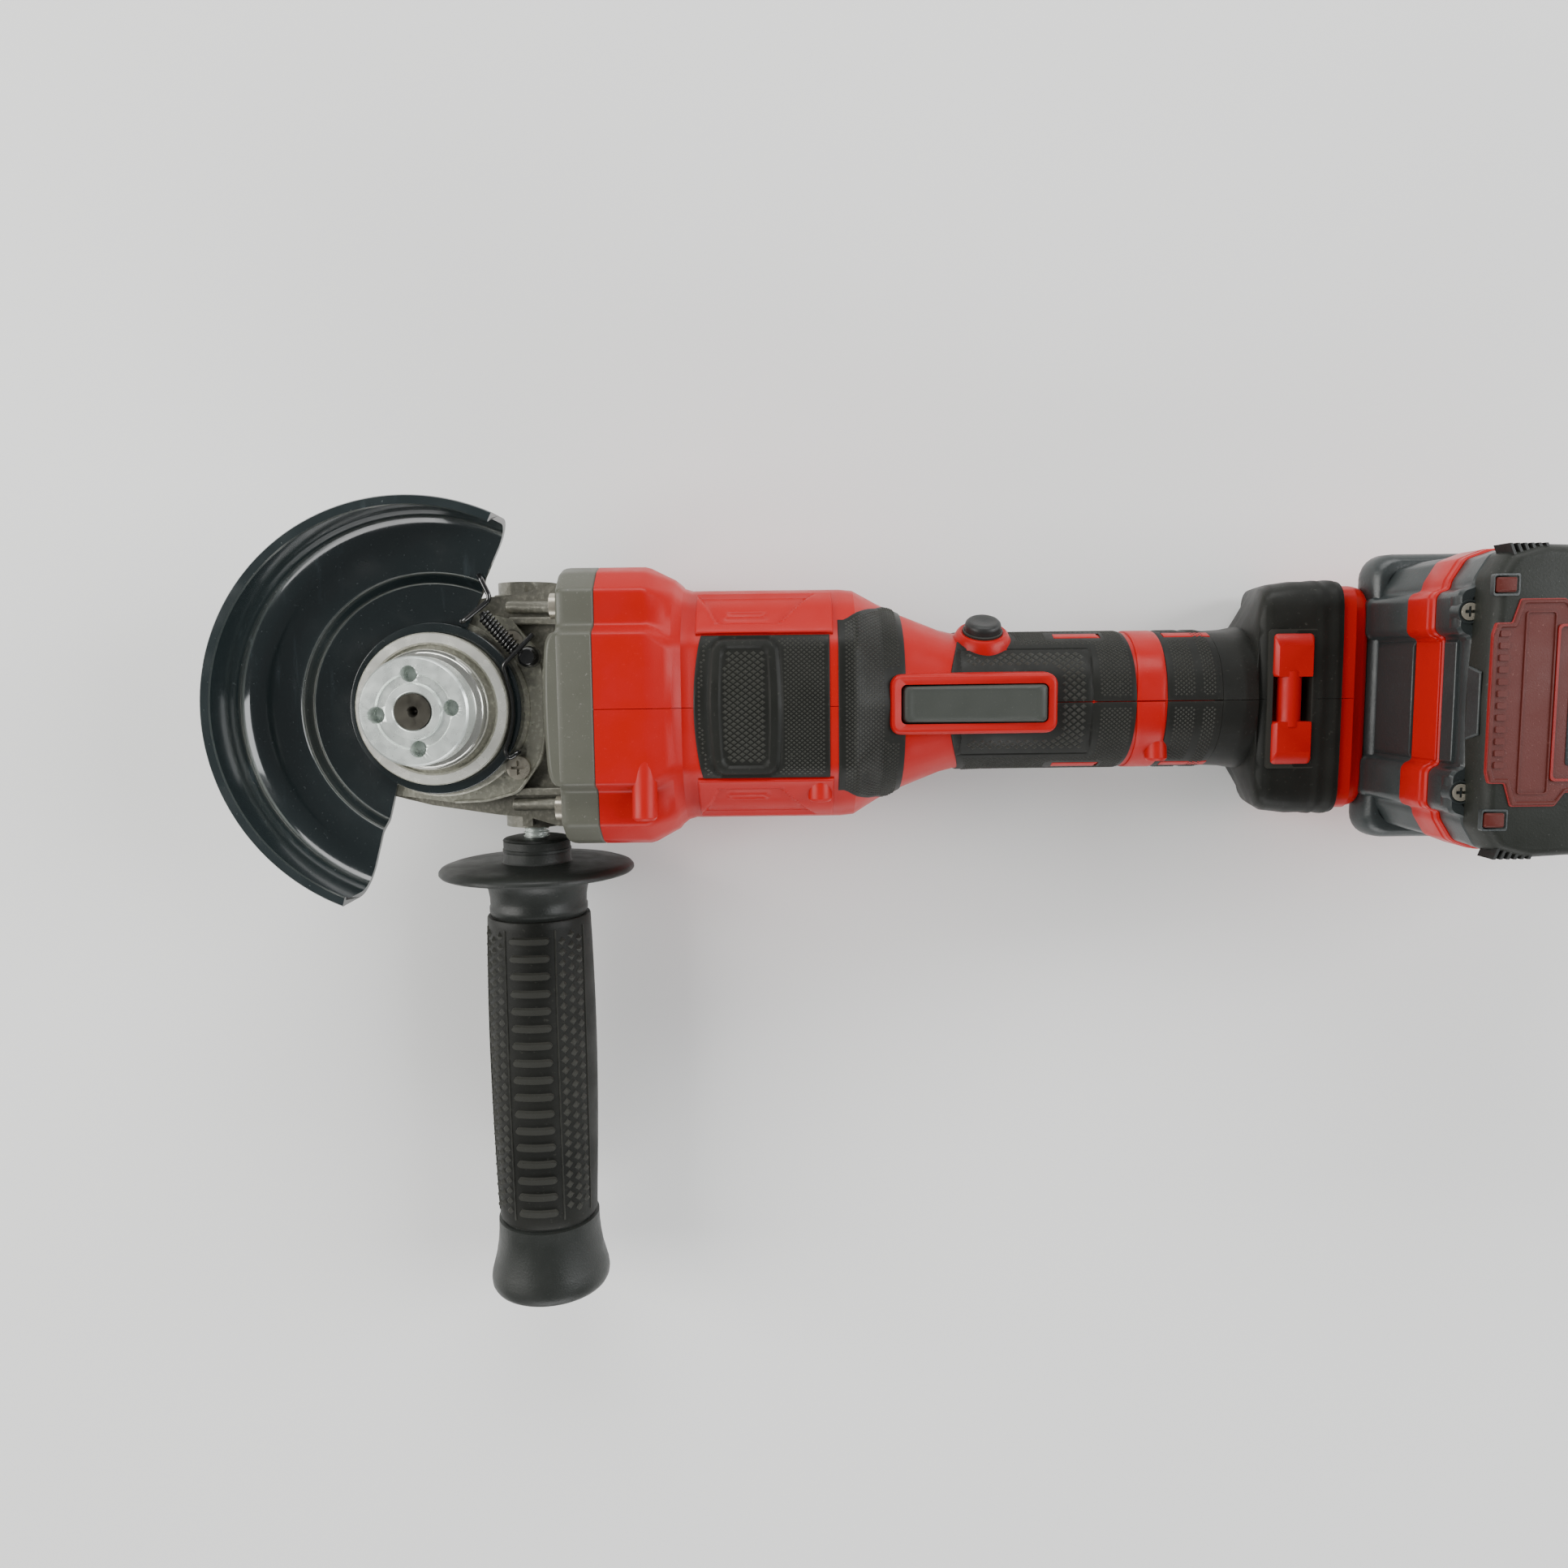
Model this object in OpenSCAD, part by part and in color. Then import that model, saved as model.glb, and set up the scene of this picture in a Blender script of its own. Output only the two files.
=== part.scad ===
// Cordless angle grinder with a 100 mm wheel guard, slide-on battery pack and side handle.
// The tool lies on its back: the spindle points up (+Z), the motor axis runs along +X,
// and the origin is where the spindle axis meets the resting face of the gear housing.

/* [Gear head] */
// Height of the motor axis above the resting face
motor_z = 38; // [36:0.5:40]
// Teeth on the crown gear
gear_teeth = 36; // [36:36]
// Teeth on the pinion
pinion_teeth = 10; // [10:10]
// Pitch radius of the crown gear
gear_r = 18.9; // [18.5:0.1:19]
// Outer radius of the collar that carries the guard
collar_r = 22; // [21.8:0.1:22]
// Height of the collar's rim
collar_top = 59; // [58.8:0.1:59.4]

/* [Spindle] */
// Thread diameter of the spindle
thread_d = 10; // [10:10]
// Diameter of the boss that centres the wheel
wheel_seat_d = 15.88; // [15:0.01:16]
// Diameter of the clamping nut
nut_d = 30.4; // [28:0.1:32]
// Circle of the nut's four pin holes
nut_pin_circle = 20.8; // [19:0.1:21]

/* [Guard] */
// Outer radius of the guard
guard_r = 58.4; // [57:0.1:59]
// Sheet thickness of the guard
guard_t = 1.6; // [1.4:0.1:1.8]
// Height of the guard's rim
guard_top = 76; // [74:0.5:78]

/* [Body] */
// Half width of the front housing
front_w = 41.5; // [41:0.1:42]
// Half width of the motor housing
motor_w = 33.5; // [33:0.1:34]
// Half width of the grip
grip_w = 20.2; // [20:0.1:21]
// Wall thickness of the plastic shells
wall = 2.4; // [2:0.1:2.6]
// Depth of the rubber over the plastic
rubber = 1.2; // [1:0.1:1.4]

/* [Battery] */
// Length of the battery pack
pack_l = 115; // [112:1:118]
// Half width of the battery pack
pack_w = 39.6; // [39:0.1:40]
// Height of the battery's base face
pack_top = 108; // [106:0.5:110]

/* [Side handle] */
// Height of the handle's axis
handle_z = 32; // [31:0.5:33]
// Distance of the handle's axis behind the spindle
handle_x = 23.2; // [23:0.1:23.4]
// Overall length of the handle from its collar to its end
handle_l = 147.4; // [140:0.2:150]

/* [Hidden] */
$fn = 64;

tiny = 0.01;
run = 0.06;           // running clearance on a radius
cover_z = 45;         // underside of the gear cover
cover_top = 49;
flange_x = 36;        // gear housing meets the motor flange
housing_x = 49.4;     // motor flange meets the plastic housing
foot_x = 246;         // where the foot reaches its full width
foot_end = 268;
pack_x = 275.5;       // front wall of the battery
pack_z = 42.4;        // underside of the battery's shell
pack_end = pack_x + pack_l;
rail_end = 352;       // end of the platform that carries the battery
bearing_z = 48.8;     // spindle bearing
seat_z = 67;          // face of the inner flange that the wheel rests on
nut_top = 76;
lock_at = [-13.5, 0]; // spindle lock button
button_x = 160.7;     // lock-on button of the trigger
button_tilt = 62;     // its tilt from straight up
hinge_wire = [20.4, -13.4];

// ---- helpers ---------------------------------------------------------------

// A closed ring of points from one quarter of an outline, mirrored twice.
function ring(q) = concat(q,
    [for (i = [len(q) - 1:-1:0]) [q[i][0], -q[i][1]]],
    [for (i = [0:len(q) - 1]) [-q[i][0], -q[i][1]]],
    [for (i = [len(q) - 1:-1:0]) [-q[i][0], q[i][1]]]);
function shrink(q, by) = [for (p = q) [max(0.5, p[0] - by), max(0.5, p[1] - by)]];

// Skin through stations of the form [x, height of the middle, quarter outline].
module loft(stations, by = 0) {
    rings = [for (s = stations) [for (p = ring(shrink(s[2], by))) [s[0], p[0], s[1] + p[1]]]];
    n = len(rings[0]);
    m = len(rings);
    polyhedron(
        points = [for (r = rings) for (p = r) p],
        faces = concat(
            [[for (i = [n - 1:-1:0]) i]],
            [for (k = [0:m - 2]) for (i = [0:n - 1])
                let (a = k * n + i, b = k * n + (i + 1) % n) each [[a, b + n, a + n], [a, b, b + n]]],
            [[for (i = [0:n - 1]) (m - 1) * n + i]]));
}
// The same skin between two distances along the tool.
function mix(a, b, t) = a * (1 - t) + b * t;
function station(x) = let (
        k = max([for (i = [0:len(BODY) - 2]) if (BODY[i][0] <= x) i]),
        t = (x - BODY[k][0]) / (BODY[k + 1][0] - BODY[k][0]))
    [x, mix(BODY[k][1], BODY[k + 1][1], t), mix(BODY[k][2], BODY[k + 1][2], t)];
function stretch_of(x0, x1) = concat([station(x0)], [for (s = BODY) if (s[0] > x0 && s[0] < x1) s],
    [station(x1)]);
// A layer of the skin, from one depth to another.
module layer(x0, x1, outer, inner) difference() {
    loft(stretch_of(x0, x1), outer);
    loft(stretch_of(x0 - 0.2, x1 + 0.2), inner);
}
module at_motor(x = 0) translate([x, 0, motor_z]) rotate([0, 90, 0]) children();
module tube(r_out, r_in, h) difference() {
    cylinder(r = r_out, h = h);
    translate([0, 0, -1]) cylinder(r = r_in, h = h + 2);
}
// Sealed ball bearing: outer ring, inner ring and a recessed seal between them.
module bearing(r_out, r_in, h) {
    band = (r_out - r_in) * 0.3;
    tube(r_out, r_out - band, h);
    tube(r_in + band, r_in, h);
    translate([0, 0, 0.4]) tube(r_out - band, r_in + band, h - 0.8);
}
module coil(r, wire, length, turns) for (i = [0:turns - 1])
    translate([0, 0, wire + i * (length - 2 * wire) / (turns - 1)])
        rotate_extrude() translate([r - wire, 0]) circle(r = wire, $fn = 16);
module box_at(lo, hi) translate(lo) cube([hi[0] - lo[0], hi[1] - lo[1], hi[2] - lo[2]]);
module both_sides() {
    children();
    mirror([0, 1, 0]) children();
}
// A rod between two points.
module rod(a, b, r) {
    d = b - a;
    translate(a) rotate([0, acos(d[2] / norm(d)), atan2(d[1], d[0])]) cylinder(r = r, h = norm(d));
}
// A bent wire of square section, lying flat at one height, along points in the plane.
function heading(a, b) = (b - a) / norm(b - a);
function turned_left(d) = [-d[1], d[0]];
function corner(p, i, w) = let (
        before = turned_left(heading(p[max(i, 1) - 1], p[max(i, 1)])),
        after = turned_left(heading(p[min(i, len(p) - 2)], p[min(i, len(p) - 2) + 1])))
    p[i] + (before + after) * (w / (1 + before * after));
module bent_wire(p, z, w) translate([0, 0, z - w]) linear_extrude(2 * w) polygon(concat(
    [for (i = [0:len(p) - 1]) corner(p, i, w)], [for (i = [len(p) - 1:-1:0]) corner(p, i, -w)]));
// Pan head screw pointing down, its head's seat at the origin.
module pan_screw(head_r, head_h, shank_r, shank_l) difference() {
    union() {
        cylinder(r = head_r, h = head_h);
        translate([0, 0, -shank_l]) cylinder(r = shank_r, h = shank_l + tiny);
    }
    for (a = [0, 90]) rotate(a) translate([-head_r * 0.6, -0.4, head_h - 1.2]) cube([head_r * 1.2, 0.8, 2]);
}

// ---- gear head ---------------------------------------------------------------

CASE = [[-30, 0], [-29, 9], [-24.5, 18.5], [-17, 26.5], [-5, 29.6], [14.8, 32.7], [24, 33.6], [33, 36.4],
    [flange_x, 36.5]];
COVER = [[-29, 0], [-27.5, 10], [-21, 20.5], [-14, 26], [2.9, 28.4], [12.6, 28], [21.8, 25.8], [29.1, 15.8],
    [30.6, 8]];
function mirrored(q) = concat(q, [for (i = [len(q) - 1:-1:1]) [q[i][0], -q[i][1]]]);
COVER_SCREWS = [[22.6, -17.9], [21.5, 19.5], [-17, 18], [-17, -18]];
FLANGE_SCREWS = [[29, 60], [-29, 60], [29, 14], [-29, 14]];
// The cover screws under the guard and under its latch are sunk into the cover
function sunk(s) = s[0] < 0 || s[1] > 0;
module case_slice(z, grow, h = tiny) translate([0, 0, z]) linear_extrude(h)
    polygon([for (p = mirrored(CASE)) [p[0] > flange_x - 1 ? p[0] : p[0] * grow, p[1] * grow]]);
module cover_screw_shanks(r) for (s = COVER_SCREWS)
    translate([s[0], s[1], cover_z - 8]) cylinder(r = r, h = 20);
module flange_screw_shanks(r) for (s = FLANGE_SCREWS)
    translate([33, s[0], s[1]]) rotate([0, 90, 0]) cylinder(r = r, h = 26);

module gear_housing() color([0.27, 0.26, 0.24]) difference() {
    union() {
        case_slice(14, 1, cover_z - 14);
        hull() {
            case_slice(0, 0.78);
            case_slice(4, 0.92);
            case_slice(14 - tiny, 1);
        }
        both_sides() translate([handle_x, -37.4, handle_z]) rotate([-90, 0, 0]) cylinder(r = 9, h = 12);
        for (x = [22, 33]) both_sides() box_at([x, 30, 38], [x + 3, 36.3, cover_z]);
    }
    translate([0, 0, 5]) cylinder(r = 6.5, h = 8);
    translate([0, 0, 12]) cylinder(r = 9, h = cover_z);
    translate([0, 0, 40.5]) cylinder(r = 21.3, h = 10);
    at_motor(7) cylinder(r = 8, h = 22);
    at_motor(25) cylinder(r = 9.5, h = 20);
    translate([handle_x, -24, handle_z]) rotate([90, 0, 0]) cylinder(r = 4 + run, h = 20);
    translate([handle_x, 24, handle_z]) rotate([-90, 0, 0]) cylinder(r = 3.4, h = 20);
    translate([lock_at[0], lock_at[1], -1]) cylinder(r = 6 + run, h = 10);
    translate([lock_at[0], lock_at[1], 8]) cylinder(r = 4.5, h = 8);
    translate([lock_at[0], lock_at[1], 15]) cylinder(r = 2 + run, h = 27);
    cover_screw_shanks(1.8);
    for (s = FLANGE_SCREWS) if (s[1] < cover_z)
        translate([12, s[0], s[1]]) rotate([0, 90, 0]) cylinder(r = 4.2, h = 21);
    flange_screw_shanks(2);
}
module gear_cover() color([0.3, 0.29, 0.27]) difference() {
    union() {
        translate([0, 0, cover_z]) linear_extrude(cover_top - cover_z) polygon(mirrored(COVER));
        translate([0, 0, cover_z]) cylinder(r = collar_r, h = collar_top - cover_z);
    }
    translate([0, 0, cover_z - 1]) cylinder(r = 21.3, h = bearing_z - cover_z + 1);
    translate([0, 0, bearing_z - 1]) cylinder(r = 14, h = 9);
    cylinder(r = 10, h = 60);
    at_motor(25) cylinder(r = 9.5, h = 7);
    translate([0, 0, 57.6]) cylinder(r = 18.6, h = 3);
    cover_screw_shanks(1.8);
    for (s = COVER_SCREWS) if (sunk(s)) translate([s[0], s[1], cover_top - 2.2]) cylinder(r = 3.4, h = 5);
}
module gear_cover_screws() color("dimgray") for (s = COVER_SCREWS)
    translate([s[0], s[1], sunk(s) ? cover_top - 2.2 : cover_top])
        pan_screw(sunk(s) ? 3.3 : 3.5, sunk(s) ? 2 : 2.4, 1.8, 9);
module gear_housing_screws() color("dimgray") for (s = FLANGE_SCREWS)
    translate([s[1] < cover_z ? 33 : 38.6, s[0], s[1]]) rotate([0, -90, 0])
        pan_screw(3.6, 3, 2, s[1] < cover_z ? 25 : 19.4);
module front_bearing() color("silver") at_motor(25) bearing(9.5, 4 + run, 7);
module spindle_bearing() color("silver") translate([0, 0, bearing_z]) bearing(14, 6 + run, 8);
module spindle_bush() color("goldenrod") translate([0, 0, 5]) tube(6.5, 4 + run, 7);
module latch_pivot() color([0.08, 0.08, 0.08]) translate([27, 14.8, cover_top]) {
    cylinder(r = 3.2, h = 3);
    intersection() { translate([0, 0, 3]) sphere(r = 3.2); cylinder(r = 4, h = 5.4); }
}
module latch_spring() color([0.08, 0.08, 0.08]) {
    a = [14.6, 27.1, 53.6];
    d = [9.2, -10.8, 0];
    translate(a) rotate([0, 90, atan2(d[1], d[0])]) coil(2.1, 0.45, norm(d), 12);
    rod(a, a + d, 1.1);
    rod([22.9, 17.2, 53.6], [22.9, 17.2, cover_top], 1.1);
}

// ---- spindle -----------------------------------------------------------------

// A straight tooth of a bevel gear, whose sections shrink towards the point where the axes meet.
// low and high give its half width and height at its lower and upper face, at the pitch radius.
module tooth(x0, x1, low, high) {
    t = [x0 / gear_r, x1 / gear_r];
    polyhedron(
        points = [for (k = [0, 1]) each [
            [t[k] * gear_r, -low[0] * t[k], low[1] * t[k]], [t[k] * gear_r, low[0] * t[k], low[1] * t[k]],
            [t[k] * gear_r, high[0] * t[k], high[1] * t[k]],
            [t[k] * gear_r, -high[0] * t[k], high[1] * t[k]]]],
        faces = [[0, 1, 2, 3], [7, 6, 5, 4], [0, 4, 5, 1], [1, 5, 6, 2], [2, 6, 7, 3], [3, 7, 4, 0]]);
}
pitch_h = gear_r * pinion_teeth / gear_teeth;
module spindle() color("gray") difference() {
    union() {
        translate([0, 0, 5]) cylinder(r = 4, h = 7 + tiny);
        translate([0, 0, 12]) cylinder(r = 6, h = 45);
        translate([0, 0, 57 - tiny]) cylinder(r = thread_d / 2, h = nut_top - 57);
    }
    translate([0, 0, nut_top - 2.5]) cylinder(r1 = 0.4, r2 = 1.6, h = 2.6);
}
module crown_gear() color("silver") {
    difference() {
        rotate_extrude() polygon([[6, 44], [12, 44], [13.8, motor_z + (pitch_h + 1.3) * 13.8 / gear_r],
            [20.6, motor_z + (pitch_h + 1.3) * 20.6 / gear_r], [20.6, 48.4], [6, 48.4]]);
        for (i = [0:3]) rotate(i * 90) translate([10, 0, 40]) cylinder(r = 1.6, h = 10);
    }
    translate([0, 0, motor_z]) for (i = [0:gear_teeth - 1]) rotate((i + 0.5) * 360 / gear_teeth)
        tooth(14, 20.4, [0.36, pitch_h - 0.85], [0.85, pitch_h + 1.4]);
}
module inner_flange() color("silver") difference() {
    rotate_extrude() polygon(concat([[thread_d / 2, 57], [8.4, 57], [8.4, 58.4], [15.6, 58.4]],
        [for (a = [-90:15:75]) [15.6 + 1.8 * cos(a), 61.6 + 3.2 * sin(a)]],
        [[14.4, 65], [13.6, seat_z], [wheel_seat_d / 2, seat_z], [wheel_seat_d / 2, seat_z + 1.6],
            [thread_d / 2, seat_z + 1.6]]));
    for (a = [0, 180]) rotate(a) translate([10.5, -2, seat_z - 2]) cube([2, 4, 3]);
}
module clamp_nut() color("silver") difference() {
    rotate_extrude() polygon([[thread_d / 2, seat_z + 2], [8.3, seat_z + 2], [8.3, seat_z + 0.05],
        [nut_d / 2 - 0.6, seat_z + 0.05], [nut_d / 2, seat_z + 0.7], [nut_d / 2, nut_top - 1.2],
        [nut_d / 2 - 0.6, nut_top - 0.6], [10.6, nut_top - 0.6], [10.2, nut_top - 1.4], [7.9, nut_top - 1.4],
        [7.5, nut_top], [thread_d / 2 + 0.6, nut_top], [thread_d / 2, nut_top - 0.6]]);
    for (i = [0:3]) rotate(i * 90 + 5)
        translate([nut_pin_circle / 2, 0, seat_z + 2.5]) cylinder(r = 2.3, h = 10);
}
module spindle_lock_button() color([0.1, 0.1, 0.1]) translate([lock_at[0], lock_at[1], 0]) {
    translate([0, 0, 0.8]) cylinder(r = 6, h = 3.2);
    translate([0, 0, 3.9]) cylinder(r = 2, h = 32.6);
}
module spindle_lock_spring() color("silver") translate([lock_at[0], lock_at[1], 4]) coil(3.9, 0.4, 12, 8);

// ---- guard -------------------------------------------------------------------

guard_low = 49.6;      // underside of the guard's inner ring
guard_plate = guard_top - 21;  // top of the guard's flat annulus
// The two straight ends, each from its inner to its outer point
end_a = [[9.3, 23.7], [23.6, 53.4]];
end_b = [[-13.3, -21.7], [-21.6, -52.8]];
function along(e, t) = e[0] + (e[1] - e[0]) * t;
module guard() color([0.05, 0.06, 0.07]) difference() {
    rotate_extrude($fn = 96) polygon([[25.05, guard_low], [36.8, guard_low], [41, guard_plate - guard_t],
        [50.8, guard_plate - guard_t], [54.6, guard_plate - 0.6], [57.6, guard_plate + 3],
        [guard_r, guard_plate + 6.5], [guard_r, guard_top], [guard_r - 3, guard_top], [guard_r - 3, guard_top - 1.2],
        [guard_r - guard_t, guard_top - 1.6], [guard_r - guard_t, guard_plate + 6.8], [56, guard_plate + 4],
        [53.6, guard_plate + 1], [50.4, guard_plate], [40.2, guard_plate], [36, guard_low + guard_t],
        [25.05, guard_low + guard_t]]);
    translate([0, 0, 40]) linear_extrude(50) polygon([along(end_a, 3), along(end_a, -0.4), along(end_b, -0.4),
        along(end_b, 3), [110, -110], [110, 110]]);
}
module guard_band() color([0.05, 0.06, 0.07]) difference() {
    translate([0, 0, guard_low]) tube(25.05, collar_r + 0.08, 5.4);
    translate([20, -1.5, guard_low - 1]) cube([8, 3, 3]);
}
module guard_wire() color([0.08, 0.08, 0.08]) {
    bent_wire([[15, 37.4], [17.7, 31.4], [9.2, 24.9]], 57.3, 0.75);
    translate([14.6, 38.2, guard_plate]) cylinder(r = 1.3, h = 2.9);
    translate([8.6, 25.2, guard_low + guard_t]) cylinder(r = 1.2, h = 6.4);
}
module latch_wire() color([0.1, 0.1, 0.1]) {
    z = 56.8;
    bent_wire([[29.6, 21.2], [20.5, 12.3], [21.4, 9.4], [22.9, 3], [23.05, -2.4], [22.1, -7], hinge_wire,
        hinge_wire + [1.4, -1.2], hinge_wire + [3.4, 0.4]], z, 0.7);
    translate(concat(hinge_wire + [3.8, 0.6], cover_top + 0.1)) cylinder(r = 1.2, h = z - cover_top + 0.5);
}

// ---- motor -------------------------------------------------------------------

module motor_flange() color([0.34, 0.34, 0.3]) difference() {
    union() {
        translate([flange_x, 0, motor_z]) rotate([90, 0, 90])
            linear_extrude(housing_x - flange_x) polygon(ring(front_q(front_w, 37)));
        at_motor(housing_x - 1) tube(32, 29.5, 4);
    }
    both_sides() box_at([flange_x - 1, 21.5, 51], [38.6, 60, 90]);
    at_motor(flange_x - 1) cylinder(r = 9, h = 20);
    at_motor(41) cylinder(r = 29, h = 20);
    flange_screw_shanks(2);
    for (s = FLANGE_SCREWS) if (s[1] < cover_z)
        translate([30, s[0], s[1]]) rotate([0, 90, 0]) cylinder(r = 2, h = 30);
}
module air_baffle() color([0.12, 0.12, 0.12]) at_motor(64.5) tube(26.9, 20, 1.6);
module rear_bearing() color("silver") at_motor(117) bearing(11, 4 + run, 7);
module motor_shaft() color("gray") {
    at_motor(15) cylinder(r = 2.2, h = 6);
    at_motor(20.4) cylinder(r = 5, h = 4.4);
    at_motor(24) cylinder(r = 4, h = 100.5);
}
module rotor() color("dimgray") {
    at_motor(73) tube(15.8, 4, 34);
    at_motor(69) tube(13, 4, 4);
}
module pinion() color("silver") difference() {
    union() {
        at_motor(13.7) cylinder(r1 = 2.9, r2 = 4.3, h = 6.6);
        translate([0, 0, motor_z]) for (i = [0:pinion_teeth - 1]) rotate([i * 360 / pinion_teeth, 0, 0])
            tooth(13.7, 20.2, [0.85, pitch_h - 1.5], [0.33, pitch_h + 0.85]);
    }
    at_motor(15) cylinder(r = 2.2, h = 6);
}
module fan() color([0.15, 0.15, 0.15]) {
    at_motor(61) tube(27, 4, 1.5);
    at_motor(54) tube(9, 4, 7);
    for (i = [0:10]) at_motor() rotate(i * 360 / 11) box_at([8.8, -0.7, 54], [26.4, 0.7, 61 + tiny]);
}
module stator_core() color("gray") at_motor(72) difference() {
    tube(27, 16.4, 36);
    for (i = [0:5]) rotate(i * 60) translate([20.4, 0, -1]) cylinder(r = 2.6, h = 40);
}
module stator_coils() color("chocolate") for (x = [67, 108]) at_motor(x) tube(25, 17.5, 5);
module sensor_board() color("darkgreen") at_motor(114) tube(26.5, 12.5, 1.6);

// ---- plastic body ------------------------------------------------------------

// Quarter outlines of the body, from the middle of the top to the side.
function front_q(w, h) = [[0, h], [21, h], [23, h - 5], [w - 8.5, h - 5.5], [w - 2, h - 12], [w, h - 18]];
function motor_q(w, h) = [[0, h], [17, h - 0.6], [20.5, h - 2.5], [w - 5, h - 9], [w - 0.8, h - 17],
    [w, h - 22]];
function oval_q(w, h) = [[0, h], [w * 0.34, h * 0.96], [w * 0.62, h * 0.83], [w * 0.84, h * 0.6],
    [w * 0.97, h * 0.31], [w, h * 0.1]];
function foot_q(w, h) = [[0, h], [w * 0.5, h], [w * 0.78, h - 1], [w * 0.93, h - 5], [w - 0.5, h - 11],
    [w, h - 16]];
BODY = [
    [housing_x - 2, motor_z, front_q(front_w, 37)],
    [63, motor_z, front_q(front_w, 37)],
    [72.5, motor_z, motor_q(motor_w + 2, 35.6)],
    [75.5, motor_z, motor_q(motor_w, 34)],
    [122, motor_z, motor_q(motor_w, 34)],
    [137, 38, oval_q(26.5, 28)],
    [150, 38, oval_q(grip_w + 0.8, 23.4)],
    [162, 38, oval_q(grip_w, 21.6)],
    [228, 38, oval_q(grip_w, 21.6)],
    [240, 35, oval_q(grip_w + 3, 24)],
    [foot_x, 28.6, foot_q(32, 26.6)],
    [foot_x + 4, 28.6, foot_q(34.3, 28.4)],
    [foot_end + 2, 28.6, foot_q(34.3, 28.4)]];
BODY_SCREWS = [[62.7, 69], [111.8, 67.4], [211, 42], [262, 47]];
module screw_holes() for (s = BODY_SCREWS) translate([s[0], 0, s[1]]) rotate([90, 0, 0]) {
    translate([0, 0, -12]) cylinder(r = 1.5 + run, h = 22);
    translate([0, 0, 9]) cylinder(r = 3.25, h = 60);
}
module housing_screws() color([0.1, 0.1, 0.1]) for (s = BODY_SCREWS)
    translate([s[0], -9, s[1]]) rotate([90, 0, 0]) pan_screw(3.1, 2.2, 1.5, 20);
module at_button() translate([button_x, 0, motor_z]) rotate([-button_tilt, 0, 0]) children();
module trigger_frame(grow = 0) hull() for (x = [133.6, 178], y = [-6.8, 6.8])
    translate([x, y, 50]) cylinder(r = 2 + grow, h = 14 + grow, $fn = 32);
module trigger_well() box_at([134.2, -5.7, 40], [177.8, 5.7, 80]);
module platform() difference() {
    box_at([foot_end - 3, -31, 0.02], [rail_end, 31, 41.6]);
    box_at([foot_end - 6, -27, 3], [rail_end - 3, 27, 29.5]);
    box_at([pack_x, -24.6, 31], [rail_end + 1, 24.6, 50]);
    box_at([pack_x, -27.6, 32.5], [rail_end + 1, 27.6, 37]);
}
module housing(side) color("crimson") difference() {
    $fn = 32;
    intersection() {
        union() {
            layer(housing_x, foot_end, 0, wall + rubber);
            for (x = [[78, 80.5], [100, 102.5], [116.5, 124.5], [229, 231.5], [foot_end - 2.4, foot_end]])
                loft(stretch_of(x[0], x[1]), 1.8);
            intersection() {
                loft(stretch_of(housing_x, foot_end), 1.8);
                for (s = BODY_SCREWS) hull() {
                    translate([s[0], -26, s[1]]) rotate([-90, 0, 0]) cylinder(r = 3.7, h = 52);
                    translate([s[0] - 2, -20, s[1] + 4]) cube([4, 40, 6]);
                }
            }
            // Bosses for the flange screws, tied to the wall above or below them
            for (s = FLANGE_SCREWS) hull() {
                translate([housing_x, s[0], s[1]]) rotate([0, 90, 0]) cylinder(r = 3.6, h = 10);
                translate([housing_x, s[0] - 2.5, s[1] < cover_z ? s[1] - 7 : s[1] + 4]) cube([10, 5, 3]);
            }
            trigger_frame();
            at_button() translate([0, 0, 15]) cylinder(r = 7.6, h = 8.6);
            platform();
            box_at([foot_end - 3, -33, 3], [273.8, 33, 52]);
            box_at([236.5, -9, 47], [254, 9, 55.6]);
            box_at([244.5, -19.5, 47], [254, 19.5, 53.9]);
        }
        box_at([housing_x, side > 0 ? 0 : -100, -1], [400, side > 0 ? 100 : 0, 120]);
    }
    // Recesses for the rubber
    layer(79, 115.5, -1, rubber);
    layer(117, 136, -1, rubber);
    difference() {
        layer(151, 204, -1, rubber);
        trigger_frame(0.02);
        at_button() cylinder(r = 7.6, h = 40);
    }
    layer(210, foot_end, -1, rubber);
    // Room for the motor, the wiring, the trigger, the button and the terminals
    at_motor(70) cylinder(r = 27.15, h = 45);
    at_motor(60) cylinder(r = 11.07, h = 64);
    box_at([124, -9, 24], [pack_x - 8, 9, 46.4]);
    box_at([foot_end - 8, -20, 32], [pack_x + 1, 20, 40.4]);
    trigger_well();
    at_button() cylinder(r = 5.35 + run, h = 40);
    at_button() cylinder(r = 6.6, h = 18);
    screw_holes();
    flange_screw_shanks(2 + run);
    box_at([238, -7.5, 50.5], [252.4, 7.5, 80]);
    box_at([239.9, -18.5, 53.85], [251.9, 18.5, 80]);
    // Air slots
    for (z = [20:5:55]) both_sides() box_at([86, 29, z], [98, 50, z + 2.2]);
}
module motor_pads() color([0.1, 0.1, 0.1]) difference() {
    intersection() {
        union() {
            layer(79, 115.5, -0.5, rubber - 0.02);
            layer(117, 136, 0, rubber - 0.02);
        }
        box_at([70, -19.4, -2], [140, 19.4, 90]);
    }
    trigger_frame(0.02);
    trigger_well();
}
module grip(side) color([0.1, 0.1, 0.1]) difference() {
    intersection() {
        union() {
            layer(151, 204, 0, rubber);
            layer(210, 228, 0, rubber);
        }
        box_at([140, side > 0 ? 0 : -100, -1], [230, side > 0 ? 100 : 0, 120]);
    }
    trigger_frame(0.02);
    at_button() cylinder(r = 7.62, h = 40);
    screw_holes();
}
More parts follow.
